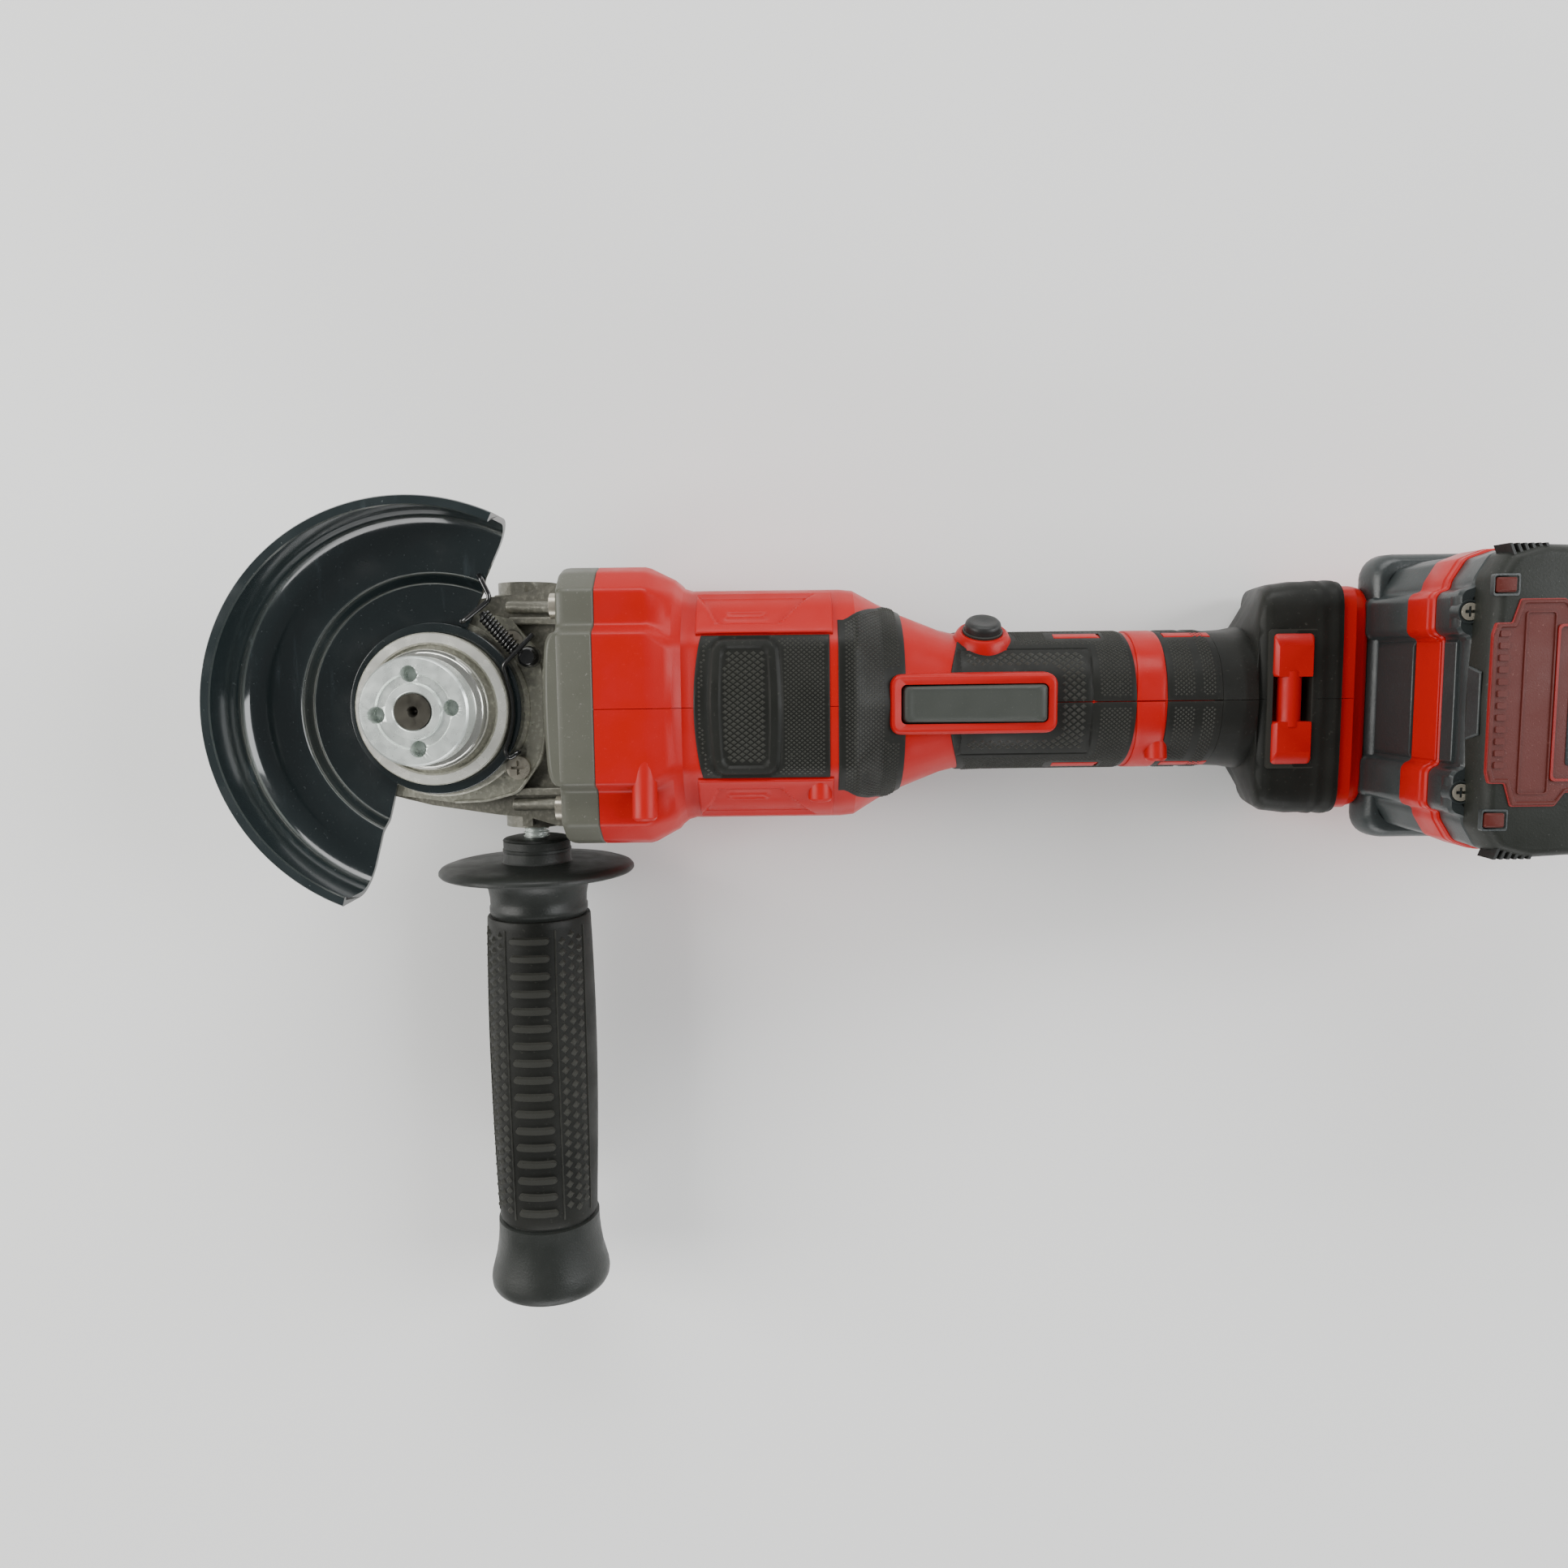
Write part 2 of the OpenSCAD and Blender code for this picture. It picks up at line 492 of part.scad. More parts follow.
module foot_boot() color([0.12, 0.12, 0.12]) difference() {
    layer(228.02, foot_end, 0, rubber);
    box_at([238, -7.5, 44], [252.4, 7.5, 80]);
    box_at([239.5, -19, 53.8], [252.4, 19, 80]);
    box_at([foot_end - 3, -31, -1], [foot_end + 1, 31, 41.6]);
    screw_holes();
}
module trigger() color([0.2, 0.21, 0.2]) difference() {
    hull() {
        box_at([135.2, -5.4, 50.4], [176.8, 5.4, 64]);
        box_at([136.4, -4.2, 51], [175.6, 4.2, 65.6]);
    }
    translate([168, 0, 50]) cylinder(r = 2.8, h = 6);
}
module trigger_spring() color("silver") translate([168, 0, 46]) coil(2.4, 0.35, 10, 8);
module switch_body() color([0.15, 0.15, 0.15]) difference() {
    box_at([140, -7, 26], [174, 7, 45.9]);
    translate([168, 0, 45]) cylinder(r = 2.6, h = 3);
}
module lock_button() color([0.08, 0.08, 0.08]) at_button() difference() {
    union() {
        translate([0, 0, 15]) cylinder(r = 5.35, h = 12);
        translate([0, 0, 15]) cylinder(r = 6.5, h = 1.6);
    }
    translate([0, 0, 14]) cylinder(r = 4.2, h = 7);
}
module lock_button_spring() color("silver") at_button() translate([0, 0, 10.2]) coil(4, 0.35, 7.7, 6);
module control_board() color("darkgreen") {
    box_at([182, -8.6, 30], [224, 8.6, 31.6]);
    for (x = [188, 200]) translate([x, 0, 31.5]) cylinder(r = 4, h = 12);
    box_at([208, -7, 31.5], [221, 7, 38]);
}
module leads() color("firebrick") for (y = [-5, 5]) rod([224.1, y, 30.8], [foot_end - 0.1, y, 34], 1.2);
module tool_terminals() color([0.15, 0.15, 0.15]) {
    box_at([foot_end, -18, 33], [pack_x - 1, 18, 40]);
    for (y = [-14, -7, 0, 7, 14]) box_at([pack_x - 2, y - 0.4, 34.5], [pack_x + 12, y + 0.4, 39.5]);
}
module tether_bar() color("crimson") difference() {
    union() {
        both_sides() hull() {
            box_at([240, 6.4, 53.9], [251.8, 18.4, 58]);
            box_at([241.5, 6.4, 58], [250.5, 17.4, 61]);
        }
        box_at([242.3, -6.5, 56.6], [248.3, 6.5, 60.4]);
    }
    for (y = [-12.4, 12.4]) translate([246, y, 56]) cylinder(r = 2, h = 8);
}

// ---- battery -----------------------------------------------------------------

function pack_outline(by = 0) = mirrored([[pack_x + by, 0], [pack_x + by, 31 - by], [pack_x + 3 + by, 36.5 - by],
    [pack_x + 11, pack_w - by], [pack_end - 9, pack_w - by], [pack_end - 1.5 - by, 33 - by],
    [pack_end - by, 27 - by]]);
module pack_block(z0, z1, by = 0) translate([0, 0, z0]) linear_extrude(z1 - z0) polygon(pack_outline(by));
// Screws that hold the three shells: two in columns on the front wall, two in towers at the back
column_x = pack_x - 0.2;
tower_x = pack_end - 7;
screw_y = 23;
module columns(z0, z1) both_sides() hull() for (x = [-1.2, 3], y = [-4.2, 4.2])
    translate([column_x + x, screw_y + y, z0]) cylinder(r = 1.6, h = z1 - z0, $fn = 32);
module towers(z0, z1) both_sides() translate([tower_x, screw_y, z0]) cylinder(r = 3.2, h = z1 - z0);
module column_holes(r, z = 50) both_sides() translate([column_x, screw_y, z]) cylinder(r = r, h = 70);
module tower_holes(r, z1 = 98) both_sides() translate([tower_x, screw_y, 40]) cylinder(r = r, h = z1 - 40);
rim_z = pack_top - 2;
module battery_rail_shell() color([0.12, 0.12, 0.12]) difference() {
    union() {
        pack_block(pack_z, 73.5);
        columns(54, 73.5);
        box_at([pack_x + 1.5, -24.2, 36.6], [rail_end - 2, 24.2, pack_z + 1]);
        box_at([pack_x + 1.5, -27.2, 33], [rail_end - 2, 27.2, 36.7]);
    }
    difference() {
        pack_block(pack_z + 2.6, 80, 2.6);
        towers(pack_z, 73.5);
    }
    box_at([pack_x + 4, -21, 35.4], [rail_end - 5, 21, pack_z + 3]);
    for (y = [-14, -7, 0, 7, 14]) box_at([pack_x - 1, y - 0.9, 34], [pack_x + 16, y + 0.9, 40.5]);
    box_at([pack_end - 4, -12.2, 49.8], [pack_end + 1, 12.2, 60.2]);
    column_holes(1.5);
    tower_holes(1.5);
    tower_holes(2.6, pack_z + 2);
}
module battery_band() color("crimson") difference() {
    union() {
        pack_block(73.5, 86.4, -0.3);
        columns(73.5, 86.4);
    }
    difference() {
        pack_block(70, 90, 2.6);
        towers(69, 91);
    }
    column_holes(1.5);
    tower_holes(1.5);
}
module battery_base_shell() color([0.2, 0.21, 0.19]) difference() {
    union() {
        pack_block(86.4, 93.3);
        hull() {
            pack_block(93.3, rim_z - 2.5);
            pack_block(93.3, rim_z, 2);
        }
        columns(86.4, 98);
    }
    difference() {
        pack_block(80, rim_z - 2.6, 2.6);
        towers(79, rim_z - 2);
    }
    box_at([pack_x + 8, -22, rim_z - 1], [pack_end - 16, 22, rim_z + 1]);
    column_holes(1.5);
    column_holes(2.3, 96.4);
    tower_holes(1.5, 96);
}
module battery_label_plate() color([0.42, 0.27, 0.22]) difference() {
    box_at([pack_x + 8.1, -21.9, rim_z - 1], [pack_end - 16.1, 21.9, rim_z + 0.9]);
    for (y = [-17.5:3.3:16])
        box_at([pack_x + 10, y, rim_z + 0.4], [pack_x + 13.5, y + 1.7, rim_z + 1]);
    box_at([pack_x + 26, -16, rim_z + 0.5], [pack_end - 26, 16, rim_z + 1]);
}
module battery_screws() color("dimgray") both_sides() {
    translate([column_x, screw_y, 96.4]) pan_screw(2.2, 1.6, 1.5, 26);
    translate([tower_x, screw_y, pack_z + 2]) rotate([180, 0, 0]) pan_screw(2.5, 1.6, 1.5, 46);
}
module battery_cells() color("steelblue") for (i = [0:4], z = [58.6, 77.4])
    translate([pack_x + 15.5 + i * 20, -32.5, z]) rotate([-90, 0, 0]) cylinder(r = 9.2, h = 65);
module battery_board() color("darkgreen") {
    box_at([pack_x + 8, -30, 46.6], [pack_x + 78, 30, 48.2]);
    box_at([pack_x + 44, -8, 45.1], [pack_x + 60, 8, 46.6]);
}
module battery_terminals() color("goldenrod") for (y = [-14, -7, 0, 7, 14], s = [-1, 1])
    box_at([pack_x + 5, y + s * 0.9 - 0.35, 40.6], [pack_x + 16, y + s * 0.9 + 0.35, 46.6]);
module battery_release_button() color("crimson") difference() {
    box_at([pack_end - 2.4, -12, 50], [pack_end + 1.6, 12, 60]);
    translate([pack_end - 3, 0, 55]) rotate([0, 90, 0]) cylinder(r = 3.8, h = 3.6);
}
module battery_release_spring() color("silver")
    translate([pack_end - 2, 0, 55]) rotate([0, -90, 0]) coil(3.4, 0.4, 5.5, 5);

// ---- side handle -------------------------------------------------------------

handle_in = 41.3;      // collar's face, measured from the tool's middle plane
handle_end = handle_in + handle_l;
module at_handle() translate([handle_x, 0, handle_z]) rotate([90, 0, 0]) children();
module handle_stud() color("silver") at_handle() {
    translate([0, 0, 25]) cylinder(r = 4, h = 35);
}
module handle_core() color([0.1, 0.1, 0.1]) at_handle() difference() {
    rotate_extrude() polygon([[0, handle_in], [9.6, handle_in], [10.4, handle_in + 0.8], [10.4, 49.4],
        [27.5, 49.4], [30, 50.4], [30.3, 51.6], [29.6, 52.6], [17.4, 53.6], [15.6, 56], [15, 60], [15, 66],
        [13, 66], [13.6, 110], [13.2, 164], [16.2, 164], [16.2, 171], [18, 181], [19, 185],
        [18.6, handle_end - 1], [17, handle_end], [0, handle_end]]);
    translate([0, 0, 20]) cylinder(r = 4, h = 40);
}
module handle_sleeve() color([0.09, 0.09, 0.09]) at_handle() {
    rotate_extrude() polygon([[13.1, 66.05], [15.2, 66.05], [16.2, 90], [16.8, 113], [16.5, 140], [16, 163.95],
        [13.3, 163.95], [13.7, 110]]);
    for (i = [0:16]) hull() for (x = [-5.5, 5.5])
        translate([x, 15 + 0.4 * sin(i * 180 / 16), 70.5 + i * 5.4]) rotate([-90, 0, 0])
            cylinder(r = 1.2, h = 1.9, $fn = 16);
}

gear_housing();
gear_cover();
gear_cover_screws();
gear_housing_screws();
front_bearing();
spindle_bearing();
spindle_bush();
spindle();
crown_gear();
inner_flange();
clamp_nut();
guard();
guard_band();
guard_wire();
latch_wire();
latch_spring();
latch_pivot();
spindle_lock_button();
spindle_lock_spring();
motor_flange();
air_baffle();
rear_bearing();
motor_shaft();
rotor();
pinion();
fan();
stator_core();
stator_coils();
sensor_board();
housing(1);  // housing_left
housing(-1);  // housing_right
motor_pads();
grip(1);  // grip_left
grip(-1);  // grip_right
foot_boot();
housing_screws();
trigger();
trigger_spring();
switch_body();
lock_button();
lock_button_spring();
control_board();
leads();
tool_terminals();
tether_bar();
battery_rail_shell();
battery_band();
battery_base_shell();
battery_label_plate();
battery_screws();
battery_cells();
battery_board();
battery_terminals();
battery_release_button();
battery_release_spring();
handle_stud();
handle_core();
handle_sleeve();
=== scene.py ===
import math

import bpy
import bmesh
from mathutils import Matrix, Vector


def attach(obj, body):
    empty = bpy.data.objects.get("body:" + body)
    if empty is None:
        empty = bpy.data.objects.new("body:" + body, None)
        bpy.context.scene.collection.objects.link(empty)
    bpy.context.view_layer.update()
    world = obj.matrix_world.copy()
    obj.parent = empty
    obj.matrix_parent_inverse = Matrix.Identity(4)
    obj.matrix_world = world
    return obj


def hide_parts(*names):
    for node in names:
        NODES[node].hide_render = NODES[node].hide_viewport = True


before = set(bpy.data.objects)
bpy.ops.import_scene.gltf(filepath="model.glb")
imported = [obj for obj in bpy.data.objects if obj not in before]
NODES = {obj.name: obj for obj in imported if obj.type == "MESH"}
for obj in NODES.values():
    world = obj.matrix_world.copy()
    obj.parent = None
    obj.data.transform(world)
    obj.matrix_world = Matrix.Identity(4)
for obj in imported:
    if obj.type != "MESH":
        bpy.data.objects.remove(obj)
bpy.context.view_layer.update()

# Sizes below are in millimetres in the frame's own axes; MM turns them into metres.
MM = 0.001
MOTOR_Z = 38.0  # height of the motor's axis
SEAM = 0.07  # half of the gap between the left and right halves
FOOT_X, FOOT_Z = 240, 28.6  # where the foot starts, and the height of its middle
SIDES = ((1, "left"), (-1, "right"))


# ---- materials ---------------------------------------------------------------

class Look:
    """A node material built step by step from object-space textures."""

    def __init__(self, name, color, rough=0.5, metal=0.0, coat=0.0, spec=0.5):
        self.mat = bpy.data.materials.new(name)
        self.mat.use_nodes = True
        self.tree = self.mat.node_tree
        self.bsdf = self.tree.nodes["Principled BSDF"]
        self.base = (*color, 1.0)
        self.set("Base Color", self.base)
        self.set("Roughness", rough)
        self.set("Metallic", metal)
        self.set("Coat Weight", coat)
        self.set("Specular IOR Level", spec)
        self.coords = self.tree.nodes.new("ShaderNodeTexCoord").outputs["Object"]
        self.normal = None
        self.color = None

    def set(self, socket, value):
        self.bsdf.inputs[socket].default_value = value

    def link(self, out, socket):
        self.tree.links.new(out, socket)

    def noise(self, scale, detail=4.0, stretch=(1, 1, 1), rough=0.55):
        """Noise whose features are about 1 / scale metres across."""
        place = self.tree.nodes.new("ShaderNodeMapping")
        place.inputs["Scale"].default_value = stretch
        self.link(self.coords, place.inputs["Vector"])
        tex = self.tree.nodes.new("ShaderNodeTexNoise")
        tex.inputs["Scale"].default_value = scale
        tex.inputs["Detail"].default_value = detail
        tex.inputs["Roughness"].default_value = rough
        self.link(place.outputs["Vector"], tex.inputs["Vector"])
        return tex.outputs["Fac"]

    def ramp(self, fac, stops):
        """Grey values at positions, as [(position, value), ...]."""
        node = self.tree.nodes.new("ShaderNodeMapRange")
        node.inputs["From Min"].default_value = stops[0][0]
        node.inputs["From Max"].default_value = stops[1][0]
        node.inputs["To Min"].default_value = stops[0][1]
        node.inputs["To Max"].default_value = stops[1][1]
        self.link(fac, node.inputs["Value"])
        return node.outputs["Result"]

    def bump(self, fac, depth_mm, strength=1.0):
        node = self.tree.nodes.new("ShaderNodeBump")
        node.inputs["Strength"].default_value = strength
        node.inputs["Distance"].default_value = depth_mm * MM
        self.link(fac, node.inputs["Height"])
        if self.normal is not None:
            self.link(self.normal, node.inputs["Normal"])
        self.normal = node.outputs["Normal"]
        self.link(self.normal, self.bsdf.inputs["Normal"])
        return self

    def tint(self, fac, color):
        """Mixes a colour over what is there by a factor."""
        node = self.tree.nodes.new("ShaderNodeMix")
        node.data_type = "RGBA"
        if self.color is None:
            node.inputs["A"].default_value = self.base
        else:
            self.link(self.color, node.inputs["A"])
        node.inputs["B"].default_value = (*color, 1.0)
        self.link(fac, node.inputs["Factor"])
        self.color = node.outputs["Result"]
        self.link(self.color, self.bsdf.inputs["Base Color"])
        return self

    def roughen(self, fac):
        self.link(fac, self.bsdf.inputs["Roughness"])
        return self


def moulded(name, color, grain=0.03, rough=0.45, speck=(0.5, 0.5, 0.5), dust=0.12, pitch=2600, spec=0.32):
    """Moulded plastic: a fine spark-eroded grain, faint clouding and a few specks of dust."""
    look = Look(name, color, rough, spec=spec)
    look.bump(look.noise(pitch, 3.0), grain, 0.7)
    look.bump(look.noise(160, 2.0), 0.05, 0.25)
    cloud = look.ramp(look.noise(28, 3.0), [(0.35, 0.0), (0.8, dust)])
    look.tint(cloud, [min(1.0, c * 1.6 + 0.015) for c in color])
    fleck = look.ramp(look.noise(1500, 2.0), [(0.66, 0.0), (0.8, 0.35)])
    look.tint(fleck, speck)
    look.roughen(look.ramp(look.noise(90, 4.0), [(0.3, rough - 0.08), (0.7, rough + 0.1)]))
    return look.mat


def edge_highlight(look, low, high, color, amount):
    """Paints a highlight on the high spots of the mesh: its sharp edges and peaks are lightened."""
    points = look.tree.nodes.new("ShaderNodeNewGeometry").outputs["Pointiness"]
    look.tint(look.ramp(points, [(low, 0.0), (high, amount)]), color)


def rubbery(name, color, rough=0.5):
    """Soft black overmould with dust in its grain."""
    look = Look(name, color, rough, spec=0.2)
    look.bump(look.noise(1900, 3.0), 0.03, 0.6)
    look.tint(look.ramp(look.noise(45, 5.0), [(0.4, 0.0), (0.85, 0.35)]), (0.035, 0.035, 0.03))
    look.tint(look.ramp(look.noise(900, 3.0), [(0.64, 0.0), (0.78, 0.35)]), (0.08, 0.08, 0.068))
    # painted highlight: the rubber's sharp edges and the peaks of its diamonds are lightened
    edge_highlight(look, 0.53, 0.64, (0.05, 0.05, 0.043), 0.6)
    look.roughen(look.ramp(look.noise(60, 4.0), [(0.3, rough - 0.1), (0.7, rough + 0.12)]))
    return look.mat


def cast(name, color, rough=0.38, metal=0.35):
    """Painted die casting: coarse orange-peel grain, with a painted highlight on its high spots."""
    look = Look(name, color, rough, metal, spec=0.5)
    grain = look.noise(780, 4.0)
    look.bump(grain, 0.16, 0.9)
    look.bump(look.noise(220, 3.0), 0.18, 0.4)
    # painted highlight: the grain is lightened where its bump is highest
    look.tint(look.ramp(grain, [(0.5, 0.0), (0.75, 0.55)]), [min(1.0, c * 2.2) for c in color])
    look.roughen(look.ramp(look.noise(400, 3.0), [(0.3, rough - 0.08), (0.7, rough + 0.14)]))
    return look.mat


def machined(name, color, rough=0.25, grain=1.0, metal=1.0):
    """Turned or plated steel: fine marks, faint staining and small scratches."""
    look = Look(name, color, rough, metal)
    look.bump(look.noise(1400, 4.0), 0.012 * grain, 0.6)
    look.bump(look.noise(300, 5.0, (1, 1, 9)), 0.02 * grain, 0.3)
    look.tint(look.ramp(look.noise(110, 5.0), [(0.42, 0.0), (0.75, 0.5)]), [c * 0.72 for c in color])
    look.roughen(look.ramp(look.noise(240, 5.0), [(0.3, rough - 0.07), (0.72, rough + 0.16)]))
    return look.mat


def glossy_paint(name, color):
    """Gloss black enamel with dust, rub marks and hairline scratches."""
    look = Look(name, color, 0.16, 0.0, coat=0.6, spec=0.6)
    look.set("Coat Roughness", 0.06)
    look.bump(look.noise(95, 3.0), 0.05, 0.25)
    marks = look.noise(240, 6.0, (1, 0.14, 1))
    look.tint(look.ramp(marks, [(0.62, 0.0), (0.78, 0.3)]), (0.07, 0.09, 0.1))
    look.tint(look.ramp(look.noise(1300, 2.0), [(0.7, 0.0), (0.8, 0.5)]), (0.2, 0.22, 0.22))
    look.roughen(look.ramp(look.noise(70, 5.0), [(0.35, 0.1), (0.75, 0.3)]))
    return look.mat


RED = (0.4, 0.005, 0.004)
MATS = {"red_plastic": moulded("red_plastic", RED, 0.03, 0.36, (0.6, 0.05, 0.03), dust=0.06, spec=0.22),
        "grey_plastic": moulded("grey_plastic", (0.085, 0.086, 0.068), 0.05, 0.4, (0.33, 0.32, 0.29)),
        "black_plastic": moulded("black_plastic", (0.018, 0.019, 0.018), 0.06, 0.42, (0.1, 0.1, 0.1)),
        "handle_plastic": moulded("handle_plastic", (0.016, 0.018, 0.016), 0.09, 0.44, (0.09, 0.09, 0.085),
                                  pitch=1500), "pack_black": moulded("pack_black", (0.022, 0.027, 0.027), 0.09,
        0.36, (0.13, 0.15, 0.17), pitch=1300, spec=0.5), "pack_grey": moulded("pack_grey",
        (0.012, 0.0135, 0.0105), 0.07, 0.5, (0.14, 0.14, 0.13), pitch=1500),
        "trigger_grey": moulded("trigger_grey", (0.042, 0.046, 0.04), 0.03, 0.5, (0.12, 0.12, 0.11)),
        "deep_red": moulded("deep_red", (0.2, 0.008, 0.006), 0.03, 0.4, (0.4, 0.05, 0.03)),
        "label_red": moulded("label_red", (0.08, 0.011, 0.007), 0.04, 0.5, (0.3, 0.14, 0.12)),
        "rubber": rubbery("rubber", (0.0085, 0.009, 0.0075)),
        "gunmetal": cast("gunmetal", (0.17, 0.165, 0.135)),
        "cover_metal": cast("cover_metal", (0.3, 0.295, 0.24), 0.34),
        "rim_metal": machined("rim_metal", (0.86, 0.85, 0.78), 0.2, 0.6, 0.5),
        "steel": machined("steel", (0.5, 0.49, 0.46), 0.26),
        "zinc": machined("zinc", (0.72, 0.77, 0.73), 0.27, 1.6, 0.6), "chrome_steel": machined("chrome_steel",
        (0.62, 0.62, 0.57), 0.12, 0.4, 0.8), "screw_steel": machined("screw_steel", (0.42, 0.39, 0.32), 0.28,
        1.0, 0.6), "dark_steel": machined("dark_steel", (0.1, 0.095, 0.08), 0.35),
        "bronze": machined("bronze", (0.55, 0.36, 0.14), 0.4),
        "copper": machined("copper", (0.62, 0.26, 0.1), 0.35),
        "lamination": machined("lamination", (0.25, 0.25, 0.26), 0.45),
        "wire_black": glossy_paint("wire_black", (0.012, 0.012, 0.012)),
        "guard_black": glossy_paint("guard_black", (0.014, 0.02, 0.021)),
        "board_green": moulded("board_green", (0.03, 0.12, 0.05), 0.02, 0.4),
        "lead_red": moulded("lead_red", (0.4, 0.03, 0.02), 0.02, 0.4),
        "cell_wrap": moulded("cell_wrap", (0.05, 0.16, 0.3), 0.01, 0.3),}


# ---- mesh helpers ------------------------------------------------------------

def mesh_of(name, points, faces, sharp=35.0):
    """A mesh object from points in millimetres, smooth but for edges sharper than an angle."""
    me = bpy.data.meshes.new(name)
    me.from_pydata([(p[0] * MM, p[1] * MM, p[2] * MM) for p in points], [], faces)
    me.validate()
    bm = bmesh.new()
    bm.from_mesh(me)
    bmesh.ops.remove_doubles(bm, verts=bm.verts, dist=1e-6)
    bmesh.ops.recalc_face_normals(bm, faces=bm.faces)
    bm.to_mesh(me)
    bm.free()
    me.polygons.foreach_set("use_smooth", [True] * len(me.polygons))
    me.set_sharp_from_angle(angle=math.radians(sharp))
    ob = bpy.data.objects.new(name, me)
    bpy.context.scene.collection.objects.link(ob)
    return ob


def put(name, solid, body, look, replaces=(), sharp=35.0, bevel=0.0, angle=32.0):
    """A visible piece from (points, faces), with its material and body, and its edges rounded."""
    ob = mesh_of(name, *solid, sharp)
    ob.data.materials.append(MATS[look])
    if bevel:
        mod = ob.modifiers.new("edges", "BEVEL")
        mod.width = bevel * MM
        mod.segments = 2
        mod.limit_method = "ANGLE"
        mod.angle_limit = math.radians(angle)
        mod.harden_normals = True
    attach(ob, body)
    if replaces:
        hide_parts(*replaces)


def unit(v):
    """A value held between 0 and 1."""
    return max(0.0, min(1.0, v))


def join_parts(parts):
    """Points and faces of several (points, faces) pairs as one."""
    points, faces = [], []
    for p, f in parts:
        base = len(points)
        points += list(p)
        faces += [tuple(i + base for i in face) for face in f]
    return points, faces


def lathe(profile, segments=72, start=0.0, end=360.0, place=Matrix.Identity(4)):
    """A closed profile of (radius, height) turned about Z, placed by a matrix in millimetres."""
    whole = abs(end - start) >= 359.9
    count = segments if whole else segments + 1
    points, faces = [], []
    for k in range(count):
        a = math.radians(start + (end - start) * k / segments)
        for r, z in profile:
            v = place @ Vector((r * math.cos(a), r * math.sin(a), z))
            points.append(tuple(v))
    n = len(profile)
    for k in range(segments):
        b = ((k + 1) % count) * n
        for i in range(n):
            j = (i + 1) % n
            faces.append((k * n + i, k * n + j, b + j, b + i))
    if not whole:
        faces.append(tuple(range(n)))
        faces.append(tuple(range((count - 1) * n, count * n))[::-1])
    return points, faces


def prism(outline, low, high, axis="z", inset=0.0):
    """An outline extruded along an axis; inset narrows its far end."""
    def lift(p, h):
        return {"z": (p[0], p[1], h), "x": (h, p[0], p[1]), "y": (p[0], h, p[1])}[axis]
    n = len(outline)
    cx = sum(p[0] for p in outline) / n
    cy = sum(p[1] for p in outline) / n
    top = outline
    if inset:
        top = [(p[0] - math.copysign(min(inset, abs(p[0] - cx)), p[0] - cx),
                p[1] - math.copysign(min(inset, abs(p[1] - cy)), p[1] - cy)) for p in outline]
    points = [lift(p, low) for p in outline] + [lift(p, high) for p in top]
    faces = [tuple(range(n))[::-1], tuple(range(n, 2 * n))]
    faces += [(i, (i + 1) % n, n + (i + 1) % n, n + i) for i in range(n)]
    return points, faces


def block(lo, hi):
    return prism([(lo[0], lo[1]), (hi[0], lo[1]), (hi[0], hi[1]), (lo[0], hi[1])], lo[2], hi[2])


def tube(path, radius, sides=12):
    """A round rod along a list of points, its bends mitred."""
    pts = [Vector(p) for p in path]
    points, faces = [], []
    up = Vector((0, 0, 1))
    for i, p in enumerate(pts):
        d = (pts[min(i + 1, len(pts) - 1)] - pts[max(i - 1, 0)]).normalized()
        side = d.cross(up)
        side = Vector((1, 0, 0)) if side.length < 1e-4 else side.normalized()
        lift = side.cross(d).normalized()
        for k in range(sides):
            a = 2 * math.pi * k / sides
            points.append(tuple(p + (side * math.cos(a) + lift * math.sin(a)) * radius))
    for i in range(len(pts) - 1):
        for k in range(sides):
            j = (k + 1) % sides
            faces.append((i * sides + k, i * sides + j, (i + 1) * sides + j, (i + 1) * sides + k))
    faces.append(tuple(range(sides))[::-1])
    faces.append(tuple(range((len(pts) - 1) * sides, len(pts) * sides)))
    return points, faces


def rounded_path(points, radius, steps=5):
    """Softens the corners of a polyline."""
    pts = [Vector(p) for p in points]
    out = [pts[0]]
    for a, b, c in zip(pts, pts[1:], pts[2:]):
        r = min(radius, (a - b).length * 0.45, (c - b).length * 0.45)
        p, q = b + (a - b).normalized() * r, b + (c - b).normalized() * r
        out += [p.lerp(b, t).lerp(b.lerp(q, t), t) for t in [k / steps for k in range(steps + 1)]]
    return out + [pts[-1]]


def helix(a, b, radius, turns, steps=14):
    a, b = Vector(a), Vector(b)
    d = (b - a).normalized()
    side = d.orthogonal().normalized()
    lift = d.cross(side)
    count = int(turns * steps)
    return [a.lerp(b, k / count) + (side * math.cos(2 * math.pi * k / steps)
            + lift * math.sin(2 * math.pi * k / steps)) * radius for k in range(count + 1)]


# ---- the body's skin -----------------------------------------------------------

def front_q(w, h):
    return [(0, h), (21, h), (23, h - 5), (w - 7, h - 5.5), (w - 1.8, h - 12), (w, h - 18)]


def motor_q(w, h):
    return [(0, h), (17, h - 0.6), (20.5, h - 2.5), (w - 5, h - 9), (w - 0.8, h - 17), (w, h - 22)]


def oval_q(w, h):
    return [(0, h), (w * 0.34, h * 0.96), (w * 0.62, h * 0.83), (w * 0.84, h * 0.6), (w * 0.97, h * 0.31),
            (w, h * 0.1)]


def foot_q(w, h):
    return [(0, h), (w * 0.5, h), (w * 0.82, h - 0.4), (w - 2.4, h - 1.8), (w - 0.5, h - 5), (w, h - 10)]


